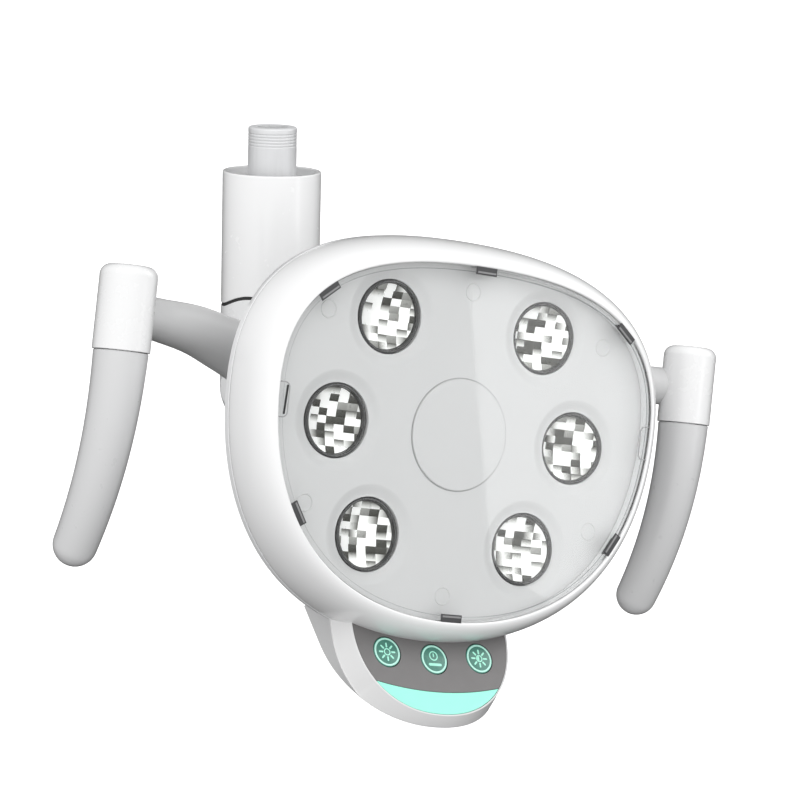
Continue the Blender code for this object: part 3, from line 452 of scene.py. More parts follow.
def painted_reflection_facet_material():
    """Mirror facets, whose tone comes from the painted reflection stored on each facet, and which also glow with
    it as painted light.
    """
    material, tree, shader = new_material("mirror_facets")
    link = tree.links.new
    stored_reflection = add(tree, "VertexColor")
    stored_reflection.layer_name = "facet"
    tone = mix_colour(tree, noise(tree, 240.0), (0.90, 0.90, 0.88), (1.0, 1.0, 1.0))
    reflection_colour = mix_colour(tree, 1.0, stored_reflection.outputs["Color"], tone, "MULTIPLY")
    link(reflection_colour, shader.inputs["Base Color"])
    # Painted light: the facets glow with their stored colour, though they are no lamp.
    link(reflection_colour, shader.inputs["Emission Color"])
    set_inputs(shader, Emission_Strength=0.30, Metallic=0.35, Specular_IOR_Level=0.2)
    link(ranged(tree, noise(tree, 400.0), 0.26, 0.34), shader.inputs["Roughness"])
    add_bump(tree, shader, noise(tree, 500.0, 1.0), 0.05, 0.0002)
    return material


WHITE = (0.900, 0.902, 0.905)
MATERIALS = {
    "bezel_white": moulded("bezel_white", WHITE, 0.22, coat=0.35, painted_edge_shade=0.20),
    "shell_white": moulded("shell_white", (0.84, 0.845, 0.85), 0.34, coat=0.1, painted_edge_shade=0.35),
    "sleeve_white": moulded("sleeve_white", WHITE, 0.24, coat=0.3, painted_edge_shade=0.30),
    "elbow_white": moulded(
        "elbow_white", (0.84, 0.845, 0.85), 0.30, grain=1500.0, bump=0.10, coat=0.2, painted_edge_shade=0.3),
    "yoke_white": moulded("yoke_white", (0.64, 0.642, 0.645), 0.36, grain=1300.0, bump=0.14, painted_edge_shade=0.3),
    "neck_cast": moulded("neck_cast", (0.66, 0.67, 0.68), 0.42, grain=1300.0, bump=0.16),
    "cap_white": moulded(
        "cap_white", (0.84, 0.842, 0.845), 0.26, grain=400.0, bump=0.01, coat=0.2, painted_edge_shade=0.50),
    "grip_grey": moulded(
        "grip_grey", (0.635, 0.637, 0.642), 0.32, grain=300.0, bump=0.01, coat=0.2, painted_edge_shade=0.45),
    "panel_grey": moulded("panel_grey", (0.725, 0.722, 0.722), 0.38, grain=900.0, bump=0.02),
    "pod_white": moulded("pod_white", (0.78, 0.78, 0.782), 0.34, grain=400.0, bump=0.01, painted_edge_shade=0.10),
    "pod_panel_dark": moulded(
        "pod_panel_dark", (0.178, 0.172, 0.172), 0.42, grain=400.0, bump=0.01, drift=0.05),
    "accent_mint": moulded("accent_mint", (0.35, 0.95, 0.76), 0.42, grain=400.0, bump=0.01, drift=0.02),
    "key_teal": moulded("key_teal", (0.060, 0.235, 0.180), 0.26, coat=0.3, drift=0.10),
    "clip_dark": moulded("clip_dark", (0.055, 0.055, 0.058), 0.42, grain=1800.0, bump=0.12, drift=0.2),
    "rim_dark": moulded("rim_dark", (0.018, 0.018, 0.018), 0.24, coat=0.3, drift=0.3),
    "connector_grey": moulded("connector_grey", (0.50, 0.505, 0.51), 0.45, drift=0.1),
    "cable_rubber": moulded("cable_rubber", (0.03, 0.03, 0.032), 0.6, grain=1200.0, bump=0.2, drift=0.3),
    "friction_lining": moulded("friction_lining", (0.25, 0.18, 0.12), 0.8, grain=900.0, bump=0.4, drift=0.3),
    "circuit_green": moulded("circuit_green", (0.02, 0.16, 0.06), 0.4, grain=700.0, bump=0.2, drift=0.3),
    "spigot_aluminium": metal("spigot_aluminium", (0.80, 0.805, 0.815), 0.55, bump=0.03, metallic=0.45),
    "steel": metal("steel", (0.58, 0.58, 0.60), 0.32),
    "bush_bronze": metal("bush_bronze", (0.62, 0.42, 0.20), 0.38),
    "board_aluminium": metal("board_aluminium", (0.72, 0.73, 0.75), 0.35, stretch=(0.05, 1, 1)),
    "core_aluminium": metal("core_aluminium", (0.74, 0.75, 0.77), 0.30),
    "lens_clear": clear_material("lens_clear", (0.985, 0.99, 0.99), 0.02),
    "reflector_mirror": painted_reflection_facet_material(),
}
LENS_EDGE_SHADE = clear_material("lens_edge_shade", (0.16, 0.16, 0.165), 0.06)
LENS_STEP_SHADE = clear_material("lens_step_shade", (0.60, 0.61, 0.62), 0.06)
# Painted shade for thin edge and joint lines.
EDGE_LINE_SHADE = moulded("edge_line_shade", (0.40, 0.40, 0.405), 0.3, drift=0.1)
CLIP_RIB_HIGHLIGHT = moulded("clip_rib", (0.26, 0.26, 0.265), 0.35, drift=0.1)
# Painted shade for dark gaps.
PAINTED_GAP_SHADE = moulded("painted_gap_shade", (0.02, 0.02, 0.02), 0.6, drift=0.1)
ICON_MINT = moulded("icon_mint", (0.42, 0.95, 0.76), 0.3, coat=0.2, drift=0.05)
# Painted shade on the pod's side.
POD_SIDE_SHADE = moulded("pod_side_shade", (0.64, 0.642, 0.645), 0.40, grain=400.0, bump=0.01)
ICON_RING = moulded("icon_ring", (0.52, 0.93, 0.80), 0.3, coat=0.2, drift=0.05)
# Painted shade behind the mirror facets.
REFLECTOR_GAP_SHADE = moulded("reflector_gap_shade", (0.10, 0.10, 0.095), 0.3, drift=0.4)


# Outlines

def resampled(path, count):
    """Even points along a path of 2D points, ends included."""
    path = np.array(path)
    lengths = np.concatenate([[0], np.cumsum(np.linalg.norm(np.diff(path, axis=0), axis=1))])
    at = np.linspace(0, lengths[-1], count + 1)
    return np.stack([np.interp(at, lengths, path[:, 0]), np.interp(at, lengths, path[:, 1])], 1)


def bezier(a, b, c, d, steps=200):
    t = np.linspace(0, 1, steps + 1)[:, None]
    u = 1 - t
    return np.array(a) * u**3 + np.array(b) * 3 * u * u * t + np.array(c) * 3 * u * t * t + np.array(d) * t**3


def opening(count=288):
    """The front opening, clockwise from its top, with outward normals."""
    side = (OPENING_SIDE, OPENING_SHOULDER)
    above = (OPENING_SIDE, OPENING_SHOULDER + SHOULDER_PULL)
    below = (OPENING_SIDE, OPENING_SHOULDER - FLANK_PULL)
    upper = bezier((0, OPENING_TOP), (TOP_PULL, OPENING_TOP), above, side)
    lower = bezier(side, below, (FOOT_PULL, -OPENING_FOOT), (0, -OPENING_FOOT))
    right = resampled(np.vstack([upper, lower[1:]]), count // 2)
    points = np.vstack([right, right[1:-1][::-1] * (-1, 1)])
    along = np.roll(points, -1, 0) - np.roll(points, 1, 0)
    normals = np.stack([-along[:, 1], along[:, 0]], 1)
    return points, normals / np.linalg.norm(normals, axis=1)[:, None]


POINTS, NORMALS = opening()


def shield(offset=0.0, share=0.0):
    """The opening moved outward by an offset and by a share of the rim's width."""
    end = np.where(NORMALS[:, 1] > 0, RIM_TOP, RIM_FOOT)
    width = RIM_SIDE + (end - RIM_SIDE) * NORMALS[:, 1] ** 2
    return POINTS + NORMALS * (offset + share * width)[:, None]


def ring_at(outline, depth):
    return [(x, depth, z) for x, z in outline]


def shield_rings(section):
    """Rings for (offset, share of the rim's width, depth) points."""
    return [ring_at(shield(offset, share), depth) for offset, share, depth in section]


# Mount and swivel

def seam_height(angle):
    """Height of the sleeve's lower edge: it arches up towards the front, over the neck."""
    share = min(1.0, max(0.0, (math.cos(angle) + 0.35) / 0.95))
    return SEAM_HEIGHT + SEAM_ARCH * share * share * (3 - 2 * share)


def stem_rings(levels, segments=144):
    """Rings about the stem for (radius, height) points. A height of ("seam", gap) follows the arched seam."""
    rings = []
    for radius, height in levels:
        ring = []
        for i in range(segments):
            angle = 2 * math.pi * i / segments
            level = seam_height(angle) + height[1] if isinstance(height, tuple) else height
            ring.append((radius * math.sin(angle), -radius * math.cos(angle), level))
        rings.append(ring)
    return rings


def build_spigot():
    top = -pivot.z
    r = SPIGOT_RADIUS
    profile = [(0.0081, top - 0.0004), (0.0085, top), (r - 0.0012, top)]
    profile += arc((r - 0.0012, top - 0.0012), 0.0012, 90, 0)
    for i in range(5):
        level = top - 0.0030 - 0.0016 * i
        profile += [(r, level), (r - 0.0002, level - 0.0003)]
        profile += [(r - 0.0002, level - 0.0006), (r, level - 0.0009)]
    profile += [(r, 0.0785), (r + 0.0004, 0.0781), (0.0196, 0.0781), (0.0200, 0.0777)]
    profile += [(0.0200, 0.0745), (0.0196, 0.0741), (r, 0.0741), (r, 0.0479), (r - 0.0012, 0.0479)]
    profile += [(r - 0.0012, 0.0460), (r, 0.0460), (r, 0.0424), (r - 0.0004, 0.0420), (0.0050, 0.0420)]
    profile += [(0.0050, top - 0.0123), (0.0081, top - 0.0123)]
    spigot = make("spigot_turned", [lathe(profile, 144)], STEM)
    finish(spigot, "mount", "spigot_aluminium", "spigot")
    face = [(0, top - 0.0009), (0.0060, top - 0.0009), (0.0064, top - 0.0001), (0.0074, top - 0.0001)]
    face += arc((0.0074, top - 0.0005), 0.0004, 90, 0, 3) + [(0.0078, top - 0.0120), (0, top - 0.0120)]
    pins = []
    for i in range(5):
        turn = 2 * math.pi * i / 5
        pin = [(0, top - 0.0003), (0.0006, top - 0.0004), (0.0007, top - 0.0020), (0, top - 0.0020)]
        pins.append(moved(lathe(pin, 20), shift(0.0037 * math.cos(turn), 0.0037 * math.sin(turn), 0)))
    insert = make("connector_face", [lathe(face, 96)] + pins, STEM)
    finish(insert, "mount", "connector_grey", "connector_insert")


def build_sleeve():
    inner = TUBE_RADIUS - SLEEVE_WALL
    levels = [(TUBE_RADIUS - 0.0002, ("seam", 0.0017)), (TUBE_RADIUS, ("seam", 0.0019))]
    levels += [(TUBE_RADIUS, 0.0600)] + arc((TUBE_RADIUS - 0.0006, SLEEVE_TOP - 0.0006), 0.0006, 0, 90, 4)
    levels += [(inner + 0.0004, SLEEVE_TOP), (inner, SLEEVE_TOP - 0.0004), (inner, ("seam", 0.0017))]
    sleeve = make("sleeve_skin", [skin(stem_rings(levels), closed=True)], STEM)
    behind = shift(0, 0, 0.0600) @ Matrix.Rotation(-math.pi / 2, 4, "X")
    cut(sleeve, [moved(rod(0.0023, 0.0300, 0.0190, 40), behind)], STEM)
    finish(sleeve, "elbow", "sleeve_white", "sleeve_cover")


def slot_outline():
    """Side view of the clevis slot, as (y, z) points round the tongue's sweep."""
    half = 0.0135
    eye = 0.0175
    spread = math.asin(half / eye)
    first = math.pi - math.radians(29.0)
    last = math.pi + math.radians(67.0)

    def polar(radius, angle):
        return np.array([math.cos(angle), math.sin(angle)]) * radius

    mouth = [polar(0.0420, a) for a in np.linspace(first, last, 24)]
    back = [polar(eye, a) for a in np.linspace(last + spread, first - spread + 2 * math.pi, 40)]
    before = mouth[0] + polar(half, first - math.pi / 2)
    after = mouth[-1] + polar(half, last + math.pi / 2)
    return [before] + mouth + [after] + back


def side_plate(outline, width):
    """A flat piece whose outline is (y, z) and whose thickness is along x."""
    verts, faces = plate([outline], width, 0.0)
    return [(-y, x, z) for x, y, z in verts], faces


def build_elbow():
    r = TUBE_RADIUS
    levels = [(r * math.cos(turn), -r * math.sin(turn)) for turn in np.radians(np.linspace(87, 0, 22))]
    levels += [(r, ("seam", -0.0004)), (r - 0.0003, ("seam", -0.0001)), (0.0224, ("seam", -0.0001))]
    levels += [(0.0224, ("seam", 0.0030)), (0.0240, ("seam", 0.0034)), (0.0240, 0.0715), (0.0235, 0.0720)]
    elbow = make("elbow_casting", [skin(stem_rings(levels))], STEM)
    across = Matrix.Rotation(math.pi / 2, 4, "Y")
    cutters = [
        rod(0.0159, 0.0730, 0.0490, 96),
        rod(0.0190, 0.0500, 0.0300, 96),
        rod(0.0080, 0.0310, 0.0060, 64),
        side_plate(slot_outline(), 0.0180),
        moved(rod(0.0053, 0.03, -0.03, 48), across),
        moved(rod(0.0101, 0.03, 0.0170, 72), across),
        moved(rod(0.0101, -0.0170, -0.03, 72), across),
    ]
    for cutter in cutters:
        cut(elbow, [cutter], STEM)
    finish(elbow, "elbow", "elbow_white", "elbow_body")
    # Painted shadow: a dark ring just inside the seam between sleeve and elbow, standing for the shade in the gap.
    section = ((0.0005, -0.0010), (0.0005, 0.0026), (0.0009, 0.0026), (0.0009, -0.0010))
    rings = stem_rings([(r - inset, ("seam", level)) for inset, level in section])
    seam_shadow = make("seam_shadow_ring", [skin(rings, closed=True)], STEM)
    finish(seam_shadow, "elbow", "elbow_white", material=PAINTED_GAP_SHADE)
    for side, sign in (("left", -1), ("right", 1)):
        profile = [(0, 0.0013)] + arc((0.0090, 0.0005), 0.0008, 90, 0) + [(0.0098, -0.0013), (0, -0.0013)]
        place = STEM @ shift(sign * 0.0233, 0, 0) @ Matrix.Rotation(sign * math.pi / 2, 4, "Y")
        cap = make(f"hinge_cap_{side}", [lathe(profile, 80)], place)
        finish(cap, "elbow", "elbow_white", f"tilt_cap_{side}")


def build_neck():
    """The tongue on the tilt axis, the round neck and the roll shaft."""
    profile = [(0, 0.1435), (0.0092, 0.1435), (0.0100, 0.1427), (0.0100, 0.0812), (0.0150, 0.0812)]
    profile += arc((0.0150, 0.0802), 0.0010, 90, 0) + [(0.0160, 0.0450)]
    profile += arc((0.0130, 0.0430), 0.0030, 0, -80) + [(0, 0.0400)]
    body = moved(lathe(profile, 112), TOWARDS_VIEWER)
    outline = [(-0.0440, -0.0120), (-0.0440, 0.0120)]
    for i in range(41):
        angle = math.radians(125 - 250 * i / 40)
        outline.append((0.0150 * math.cos(angle), 0.0150 * math.sin(angle)))
    tongue = side_plate(outline, 0.0140)
    neck = make("neck_casting", [body, tongue], NECK)
    finish(neck, "neck", "neck_cast", "neck")


# Head

def clip_frame(angle):
    """Matrix of a lens clip: its point on the opening's edge, with local z outward."""
    direction = np.array([math.cos(math.radians(angle)), math.sin(math.radians(angle))])
    unit = POINTS / np.linalg.norm(POINTS, axis=1)[:, None]
    index = int(np.argmax(unit @ direction))
    turn = math.atan2(NORMALS[index, 0], NORMALS[index, 1])
    return shift(POINTS[index, 0], 0, POINTS[index, 1]) @ Matrix.Rotation(turn, 4, "Y")


def build_bezel():
    """The white rim, rolled from the lip inside the opening back to the seam with the rear shell."""
    section = [(0.0024, 0, -0.0004), (0, 0, -0.0004), (0, 0, LIP_DEPTH + 0.0008)]
    section += [(0.0001, 0, LIP_DEPTH + 0.0004), (0.0004, 0, LIP_DEPTH + 0.0001), (0.0008, 0, LIP_DEPTH)]
    for turn in np.radians(np.linspace(9, 88, 24)):
        section.append((0, math.sin(turn), LIP_DEPTH + (SEAM_DEPTH - LIP_DEPTH) * (1 - math.cos(turn))))
    section += [(-0.0001, 1, SEAM_DEPTH - 0.0003), (-0.0004, 1, SEAM_DEPTH), (-0.0022, 1, SEAM_DEPTH)]
    section += [(-0.0026, 1, 0.0078), (0.0048, 0, -0.0012)]
    bezel = make("front_rim", [skin(shield_rings(section), closed=True)], HEAD, sharp=40)
    finish(bezel, "head", "bezel_white", "front_bezel")


def hub_circle(radius):
    outline = shield()
    centre = np.array([0, HUB_HEIGHT])
    away = outline - centre
    return centre + away / np.linalg.norm(away, axis=1)[:, None] * radius


def dome(offset, back, steps=28):
    edge = shield(offset, 1.0)
    start = SEAM_DEPTH + GAP + SHELL_SKIRT
    rings = []
    for turn in np.linspace(DOME_START, math.pi / 2, steps):
        inward = 1 - math.cos(turn) / math.cos(DOME_START)
        backward = (math.sin(turn) - math.sin(DOME_START)) / (1 - math.sin(DOME_START))
        outline = edge + (hub_circle(SHELL_HOLE) - edge) * inward
        rings.append(ring_at(outline, start + (back - start) * backward))
    return rings


def build_rear_shell():
    edge = SEAM_DEPTH + GAP
    outer = shield_rings([(-0.0004, 1, edge), (-0.0001, 1, edge + 0.0003)]) + dome(0.0, SHELL_BACK)
    inner = dome(-SHELL_WALL, SHELL_BACK - SHELL_WALL)[::-1] + shield_rings([(-SHELL_WALL, 1, edge)])
    shell = make("rear_dome", [skin(outer + inner, closed=True)], HEAD, sharp=40)
    finish(shell, "head", "shell_white", "rear_shell")


def module_spot(index):
    side = 1 if index < MODULES // 2 else -1
    angle = MODULE_STEP * (1 - index % (MODULES // 2))
    return Vector((side * MODULE_RING * math.cos(angle), 0, MODULE_RING * math.sin(angle)))


def module_matrix(index):
    """Place of a module, with local z towards the shared focus and local y up the face."""
    spot = module_spot(index) + Vector((0, MODULE_DEPTH, 0))
    z = (Vector((0, -FOCUS_DISTANCE, 0)) - spot).normalized()
    x = Vector((0, 0, 1)).cross(z).normalized()
    return axes_matrix(x, z.cross(x), z, spot)


def build_face_panel():
    """The panel with a soft dish round each module, a seat for the middle cap and six faint bosses."""
    holes = [circle(DISH_RADIUS + 0.0002, module_spot(i).x, module_spot(i).z, 128) for i in range(MODULES)]
    holes.append(circle(CAP_RADIUS - 0.0010, 0, 0, 128))
    shapes = [plate([shield(0.0036)] + holes, 0.0024, 0.0012)]
    for i in range(MODULES):
        profile = []
        for k in range(19):
            share = k / 18
            drop = 0.0019 * (3 * share**2 - 2 * share**3) ** 0.85
            profile.append((DISH_RADIUS + 0.0002 - (DISH_RADIUS + 0.0002 - 0.0183) * share, -drop))
        profile += [(0.0182, -0.0026), (0.0182, -0.0056), (0.0215, -0.0056), (DISH_RADIUS + 0.0012, -0.0024)]
        profile += [(DISH_RADIUS + 0.0002, -0.0024)]
        shapes.append(moved(lathe(profile, 128), Matrix.Translation(module_spot(i)) @ TOWARDS_VIEWER))
    for angle in CLIP_ANGLES:
        spot = clip_frame(angle) @ Vector((0, 0, -0.0120))
        boss = [(0.0038, 0.0), (0.0039, 0.00018)] + arc((0.0042, 0.00018), 0.0002, 150, 30, 3)
        boss += [(0.0045, 0.00018), (0.0046, 0.0), (0.0046, -0.0004), (0.0038, -0.0004)]
        shapes.append(moved(lathe(boss, 64), shift(spot.x, 0, spot.z) @ TOWARDS_VIEWER))
    panel = make("reflector_panel", shapes, HEAD, sharp=28, weld=False)
    finish(panel, "head", "panel_grey", "face_panel")
    r = CAP_RADIUS
    profile = [(0, 0.0010), (r - 0.0012, 0.0009)] + arc((r - 0.0005, 0.0004), 0.0005, 90, 0, 5)
    profile += [(r, GAP), (r - 0.0014, GAP), (r - 0.0014, -0.0030), (0, -0.0030)]
    cap = make("middle_cap", [lathe(profile, 160)], HEAD @ TOWARDS_VIEWER)
    finish(cap, "head", "panel_grey", "centre_cap")
    # Painted shade: a thin grey ring on the panel round the cap's edge, standing for the shade at the joint.
    joint_shade_section = [(r + 0.0001, 0.0001), (r + 0.0005, 0.0001), (r + 0.0005, -0.0002), (r + 0.0001, -0.0002)]
    joint_shade = make("cap_joint_shade_line", [lathe(joint_shade_section, 160)], HEAD @ TOWARDS_VIEWER)
    finish(joint_shade, "head", "panel_grey", material=EDGE_LINE_SHADE)


def build_lens():
    """The clear cover: a thin plate with a stepped edge whose edge wall and step are tinted dark as painted shade,
    and a finger tab at each side.
    """
    section = [(-0.0004, 0, LENS_BACK), (-0.0004, 0, LENS_FRONT + 0.0001), (-0.0005, 0, LENS_FRONT)]
    section += [(-0.0026, 0, LENS_FRONT), (-0.0029, 0, LENS_FRONT + 0.0003)]
    lens = make("clear_cover", [skin(shield_rings(section))], HEAD, sharp=25)
    finish(lens, "head", "lens_clear", "lens_cover")
    lens.data.materials.append(LENS_EDGE_SHADE)
    lens.data.materials.append(LENS_STEP_SHADE)
    to_head = HEAD.inverted()
    # Painted shade: the steep edge faces take the dark tint and the short step faces the grey one.
    for polygon in lens.data.polygons:
        depths = [(to_head @ lens.data.vertices[i].co).y for i in polygon.vertices]
        if len(polygon.vertices) == 4 and max(depths) - min(depths) > 0.0012:
            polygon.material_index = 1
        elif len(polygon.vertices) == 4 and max(depths) - min(depths) > 0.00025:
            polygon.material_index = 2
    for side, sign in (("left", -1), ("right", 1)):
        edge = OPENING_SIDE - 0.0008
        inner = OPENING_SIDE - TAB_REACH
        upper = arc((inner + TAB_CORNER, TAB_HEIGHT + TAB_HALF - TAB_CORNER), TAB_CORNER, 90, 180, 8)
        lower = arc((inner + TAB_CORNER, TAB_HEIGHT - TAB_HALF + TAB_CORNER), TAB_CORNER, 180, 270, 8)
        outline = [(edge, TAB_HEIGHT + TAB_HALF)] + upper + lower + [(edge, TAB_HEIGHT - TAB_HALF)]
        path = [(sign * x, LENS_FRONT, z) for x, z in outline]
        # Painted shade: each tab's outline is a thin grey bar on the clear cover.
        tab = make(f"cover_tab_{side}", [sweep(path, [0.00030] * len(path), 12)], HEAD)
        finish(tab, "head", "lens_clear", material=EDGE_LINE_SHADE)
    # Painted shade: a dark bar at the left tab's notch stands for the shade in the gap there.
    foot = (-OPENING_SIDE + 0.0040, TAB_HEIGHT - 0.0065)
    head = (-OPENING_SIDE + 0.0047, TAB_HEIGHT + 0.0065)
    notch_shade = make("cover_notch_shade", [bar(*foot, *head, 0.0011, LENS_FRONT)], HEAD)
    finish(notch_shade, "head", "lens_clear", material=PAINTED_GAP_SHADE)


def build_clips():
    """Each clip is a ribbed tongue over the cover's edge; its rib is drawn lighter as a painted highlight."""
    for i, angle in enumerate(CLIP_ANGLES):
        matrix = HEAD @ clip_frame(angle)
        tongue = [(-0.0060, -0.0038), (0.0060, -0.0038), (0.0060, 0.0001), (-0.0060, 0.0001)]
        foot = [(-0.0050, -0.0002), (0.0050, -0.0002), (0.0050, 0.0008), (-0.0050, 0.0008)]
        shapes = [plate([tongue], 0.0008, -0.0096, 0.0002), plate([foot], 0.0068, -0.0064, 0.0001)]
        clip = make(f"cover_clip_{i + 1}", shapes, matrix)
        finish(clip, "head", "clip_dark", f"lens_clip_{i + 1}")
        # Painted highlight: the rib takes a lighter copy of the clip's dark colour.
        rib = [(-0.0053, -0.0031), (0.0053, -0.0031), (0.0053, -0.0022), (-0.0053, -0.0022)]
        rib_highlight = make(f"clip_rib_{i + 1}", [plate([rib], 0.0004, -0.0100, 0.0001)], matrix)
        finish(rib_highlight, "head", "clip_dark", material=CLIP_RIB_HIGHLIGHT)


def scatter(*keys):
    """A repeatable number from 0 to 1 for a set of whole numbers."""
    value = 0
    for key in keys:
        value = (value * 1103515245 + key * 12345 + 974711) % 2147483648
    value = (value ^ (value >> 13)) * 1274126177 % 2147483648
    return value / 2147483648


def painted_reflection_tone(module, column, row):
    """Painted reflection brightness at the four corners of one facet, counted round it."""
    pick = scatter(module, column + 40, row + 40)
    return next(reflection_tones for limit, reflection_tones in FACET_REFLECTION_KINDS if pick < limit)


def build_module(index):
    """The dark trim ring, and the bowl of flat mirror facets inside it, coloured with a painted reflection."""
    matrix = HEAD @ module_matrix(index)
    o = RIM_OUTER
    n = RIM_INNER
    ring = arc((o - 0.0004, 0.0000), 0.0004, 0, 90, 5) + arc((n + 0.0005, 0.0), 0.0004, 90, 170, 5)
    ring += [(n - 0.0001, -0.0030), (n - 0.0001, -0.0040), (o, -0.0040)]
    trim = make(f"module_trim_{index + 1}", [lathe(ring, 112)], matrix)
    finish(trim, "head", "rim_dark", f"led_rim_{index + 1}")

    edge = n - 0.0003
    verts = []
    faces = []
    reflection_tones = []
    for column in range(-3, 4):
        for row in range(-5, 6):
            x0 = (column - 0.5) * FACET_WIDE + (scatter(index, row + 9) - 0.5) * 0.0008
            y0 = (row - 0.5) * FACET_TALL
            cx = x0 + FACET_WIDE / 2
            cy = y0 + FACET_TALL / 2
            if math.hypot(cx, cy) > edge + 0.0030:
                continue
            corner_reflection = painted_reflection_tone(index, column, row)
            base = len(verts)
            for a in range(FACET_CELLS + 1):
                for b in range(FACET_CELLS + 1):
                    x = x0 + FACET_WIDE * a / FACET_CELLS
                    y = y0 + FACET_TALL * b / FACET_CELLS
                    reach = math.hypot(x, y)
                    if reach > edge:
                        x, y = x * edge / reach, y * edge / reach
                    sag = 1 - (x * x + y * y) / edge**2
                    verts.append((x, y, -0.0018 - BOWL_DEPTH * sag))
                    s, t = a / FACET_CELLS, b / FACET_CELLS
                    low = corner_reflection[0] * (1 - s) + corner_reflection[1] * s
                    high = corner_reflection[3] * (1 - s) + corner_reflection[2] * s
                    reflection_tones.append(low * (1 - t) + high * t)
            for a in range(FACET_CELLS):
                for b in range(FACET_CELLS):
                    first = base + a * (FACET_CELLS + 1) + b
                    faces.append((first, first + FACET_CELLS + 1, first + FACET_CELLS + 2, first + 1))
    facets = make(f"module_facets_{index + 1}", [(verts, faces)], matrix, weld=False)
    # The painted reflection goes into a colour on each facet's corners, its greys tinted a little warm.
    painted_reflection_layer = facets.data.color_attributes.new("facet", "FLOAT_COLOR", "POINT")
    for i, tone in enumerate(reflection_tones):
        warm = 0.006 + 0.03 * tone * (1 - tone)
        painted_reflection_layer.data[i].color = (tone, tone, max(0.0, tone - warm), 1.0)
    for polygon in facets.data.polygons:
        if polygon.normal.z < 0:
            polygon.flip()
    finish(facets, "head", "reflector_mirror", f"led_reflector_{index + 1}")
    # Painted shade: a dark bowl just behind the facets, seen as shade through the cracks between them.
    bowl = [(edge, -0.0019), (0.0150, -0.0060), (0.0100, -0.0110), (0.0001, -0.0120), (0.0001, -0.0125)]
    bowl += [(0.0105, -0.0115), (0.0155, -0.0062), (edge + 0.0002, -0.0019)]
    back = make(f"module_bowl_{index + 1}", [lathe(bowl, 72)], matrix)
    finish(back, "head", "reflector_mirror", material=REFLECTOR_GAP_SHADE)


# Key pod

def panel_outline(offset=0.0, count=120):
    """The pod panel's U-shaped outline, open-cornered at the top and moved outward by an offset."""
    turns = np.linspace(0, math.pi / 2, count // 2 + 1)
    power = 2 / PANEL_POWER
    x = PANEL_HALF_WIDTH * np.cos(turns).clip(0) ** power
    z = PANEL_RISE - PANEL_DROP * np.sin(turns) ** power
    right = np.stack([x, z], 1)
    bend = np.vstack([right, right[:-1][::-1] * (-1, 1)])
    bend = resampled(bend, count)
    along = np.vstack([bend[1:], bend[-1:]]) - np.vstack([bend[:1], bend[:-1]])
    normals = np.stack([-along[:, 1], along[:, 0]], 1)
    normals /= np.linalg.norm(normals, axis=1)[:, None]
    bend = bend + normals * offset
    sides = np.linspace(PANEL_TOP, bend[0, 1], 10)[:-1]
    first = [(bend[0, 0], z) for z in sides]
    last = [(bend[-1, 0], z) for z in sides[::-1]]
    return np.vstack([first, bend, last])


def pod_ring(offset, depth, wedge=0.0, deepest=1.0):
    """The pod's outline at a depth that grows with height, up to a deepest value."""
    foot = PANEL_RISE - PANEL_DROP - offset
    return [(x, min(depth + wedge * (z - foot), deepest), z) for x, z in panel_outline(offset)]


def build_pod():
    """The pod's housing, then its panel, accent strip and keys."""
    levels = ((-0.0020, 0.0023), (0.0, 0.0023), (0.0, 0.0003), (0.0003, 0.0), (0.0008, 0.0002))
    levels += ((0.0042, 0.0052, POD_WEDGE, POD_BAND), (0.0046, 0.0064, POD_WEDGE, POD_BAND))
    levels += ((0.0045, 0.0068, POD_WEDGE, POD_BAND + 0.0005), (0.0036, 0.0078, POD_WEDGE))
    levels += ((0.0028, 0.0083, POD_WEDGE), (-0.0020, 0.0085, POD_WEDGE))
    rings = [pod_ring(*level) for level in levels]
    housing = make("pod_shell", [skin(rings, cap_start=False)], POD, sharp=16)
    finish(housing, "head", "pod_white", "pod_housing")
    # Painted shade: the faces from the side ring back take a darker copy of the pod's white.
    housing.data.materials.append(POD_SIDE_SHADE)
    count = len(rings[0])
    for polygon in housing.data.polygons:
        if min(polygon.vertices) // count >= POD_SHADE_FIRST_RING:
            polygon.material_index = 1
    arc_height = ACCENT_TOP + ACCENT_RADIUS
    outline = panel_outline(-GAP)
    for name, radius, slot, node, keep in (
        ("key_panel", ACCENT_RADIUS - GAP / 2, "pod_panel_dark", "touch_panel", "INTERSECT"),
        ("mint_strip", ACCENT_RADIUS + GAP / 2, "accent_mint", "accent_strip", "DIFFERENCE"),
    ):
        piece = make(name, [plate([outline], 0.0016, 0.0012)], POD)
        disc = moved(rod(radius, 0.02, -0.02, 720), shift(0, 0, arc_height) @ TOWARDS_VIEWER)
        cut(piece, [disc], POD, keep)
        if node == "touch_panel":
            for _, x, z in KEY_PLACES:
                hole = rod(KEY_RADIUS + GAP, 0.01, -0.01, 96)
                cut(piece, [moved(hole, shift(x, 0, z) @ TOWARDS_VIEWER)], POD)
        finish(piece, "head", slot, node)


def bar(x0, z0, x1, z1, width, y=0.0, high=0.00016):
    """A raised bar with round ends on a key's face."""
    start = np.array([x0, z0])
    end = np.array([x1, z1])
    along = (end - start) / np.linalg.norm(end - start)
    outline = []
    for centre, first in ((end, -90), (start, 90)):
        for turn in np.radians(np.linspace(first, first + 180, 9)):
            turned = np.array([
                along[0] * math.cos(turn) - along[1] * math.sin(turn),
                along[1] * math.cos(turn) + along[0] * math.sin(turn),
            ])
            outline.append(tuple(centre + turned * width / 2))
    return plate([outline], high, y)


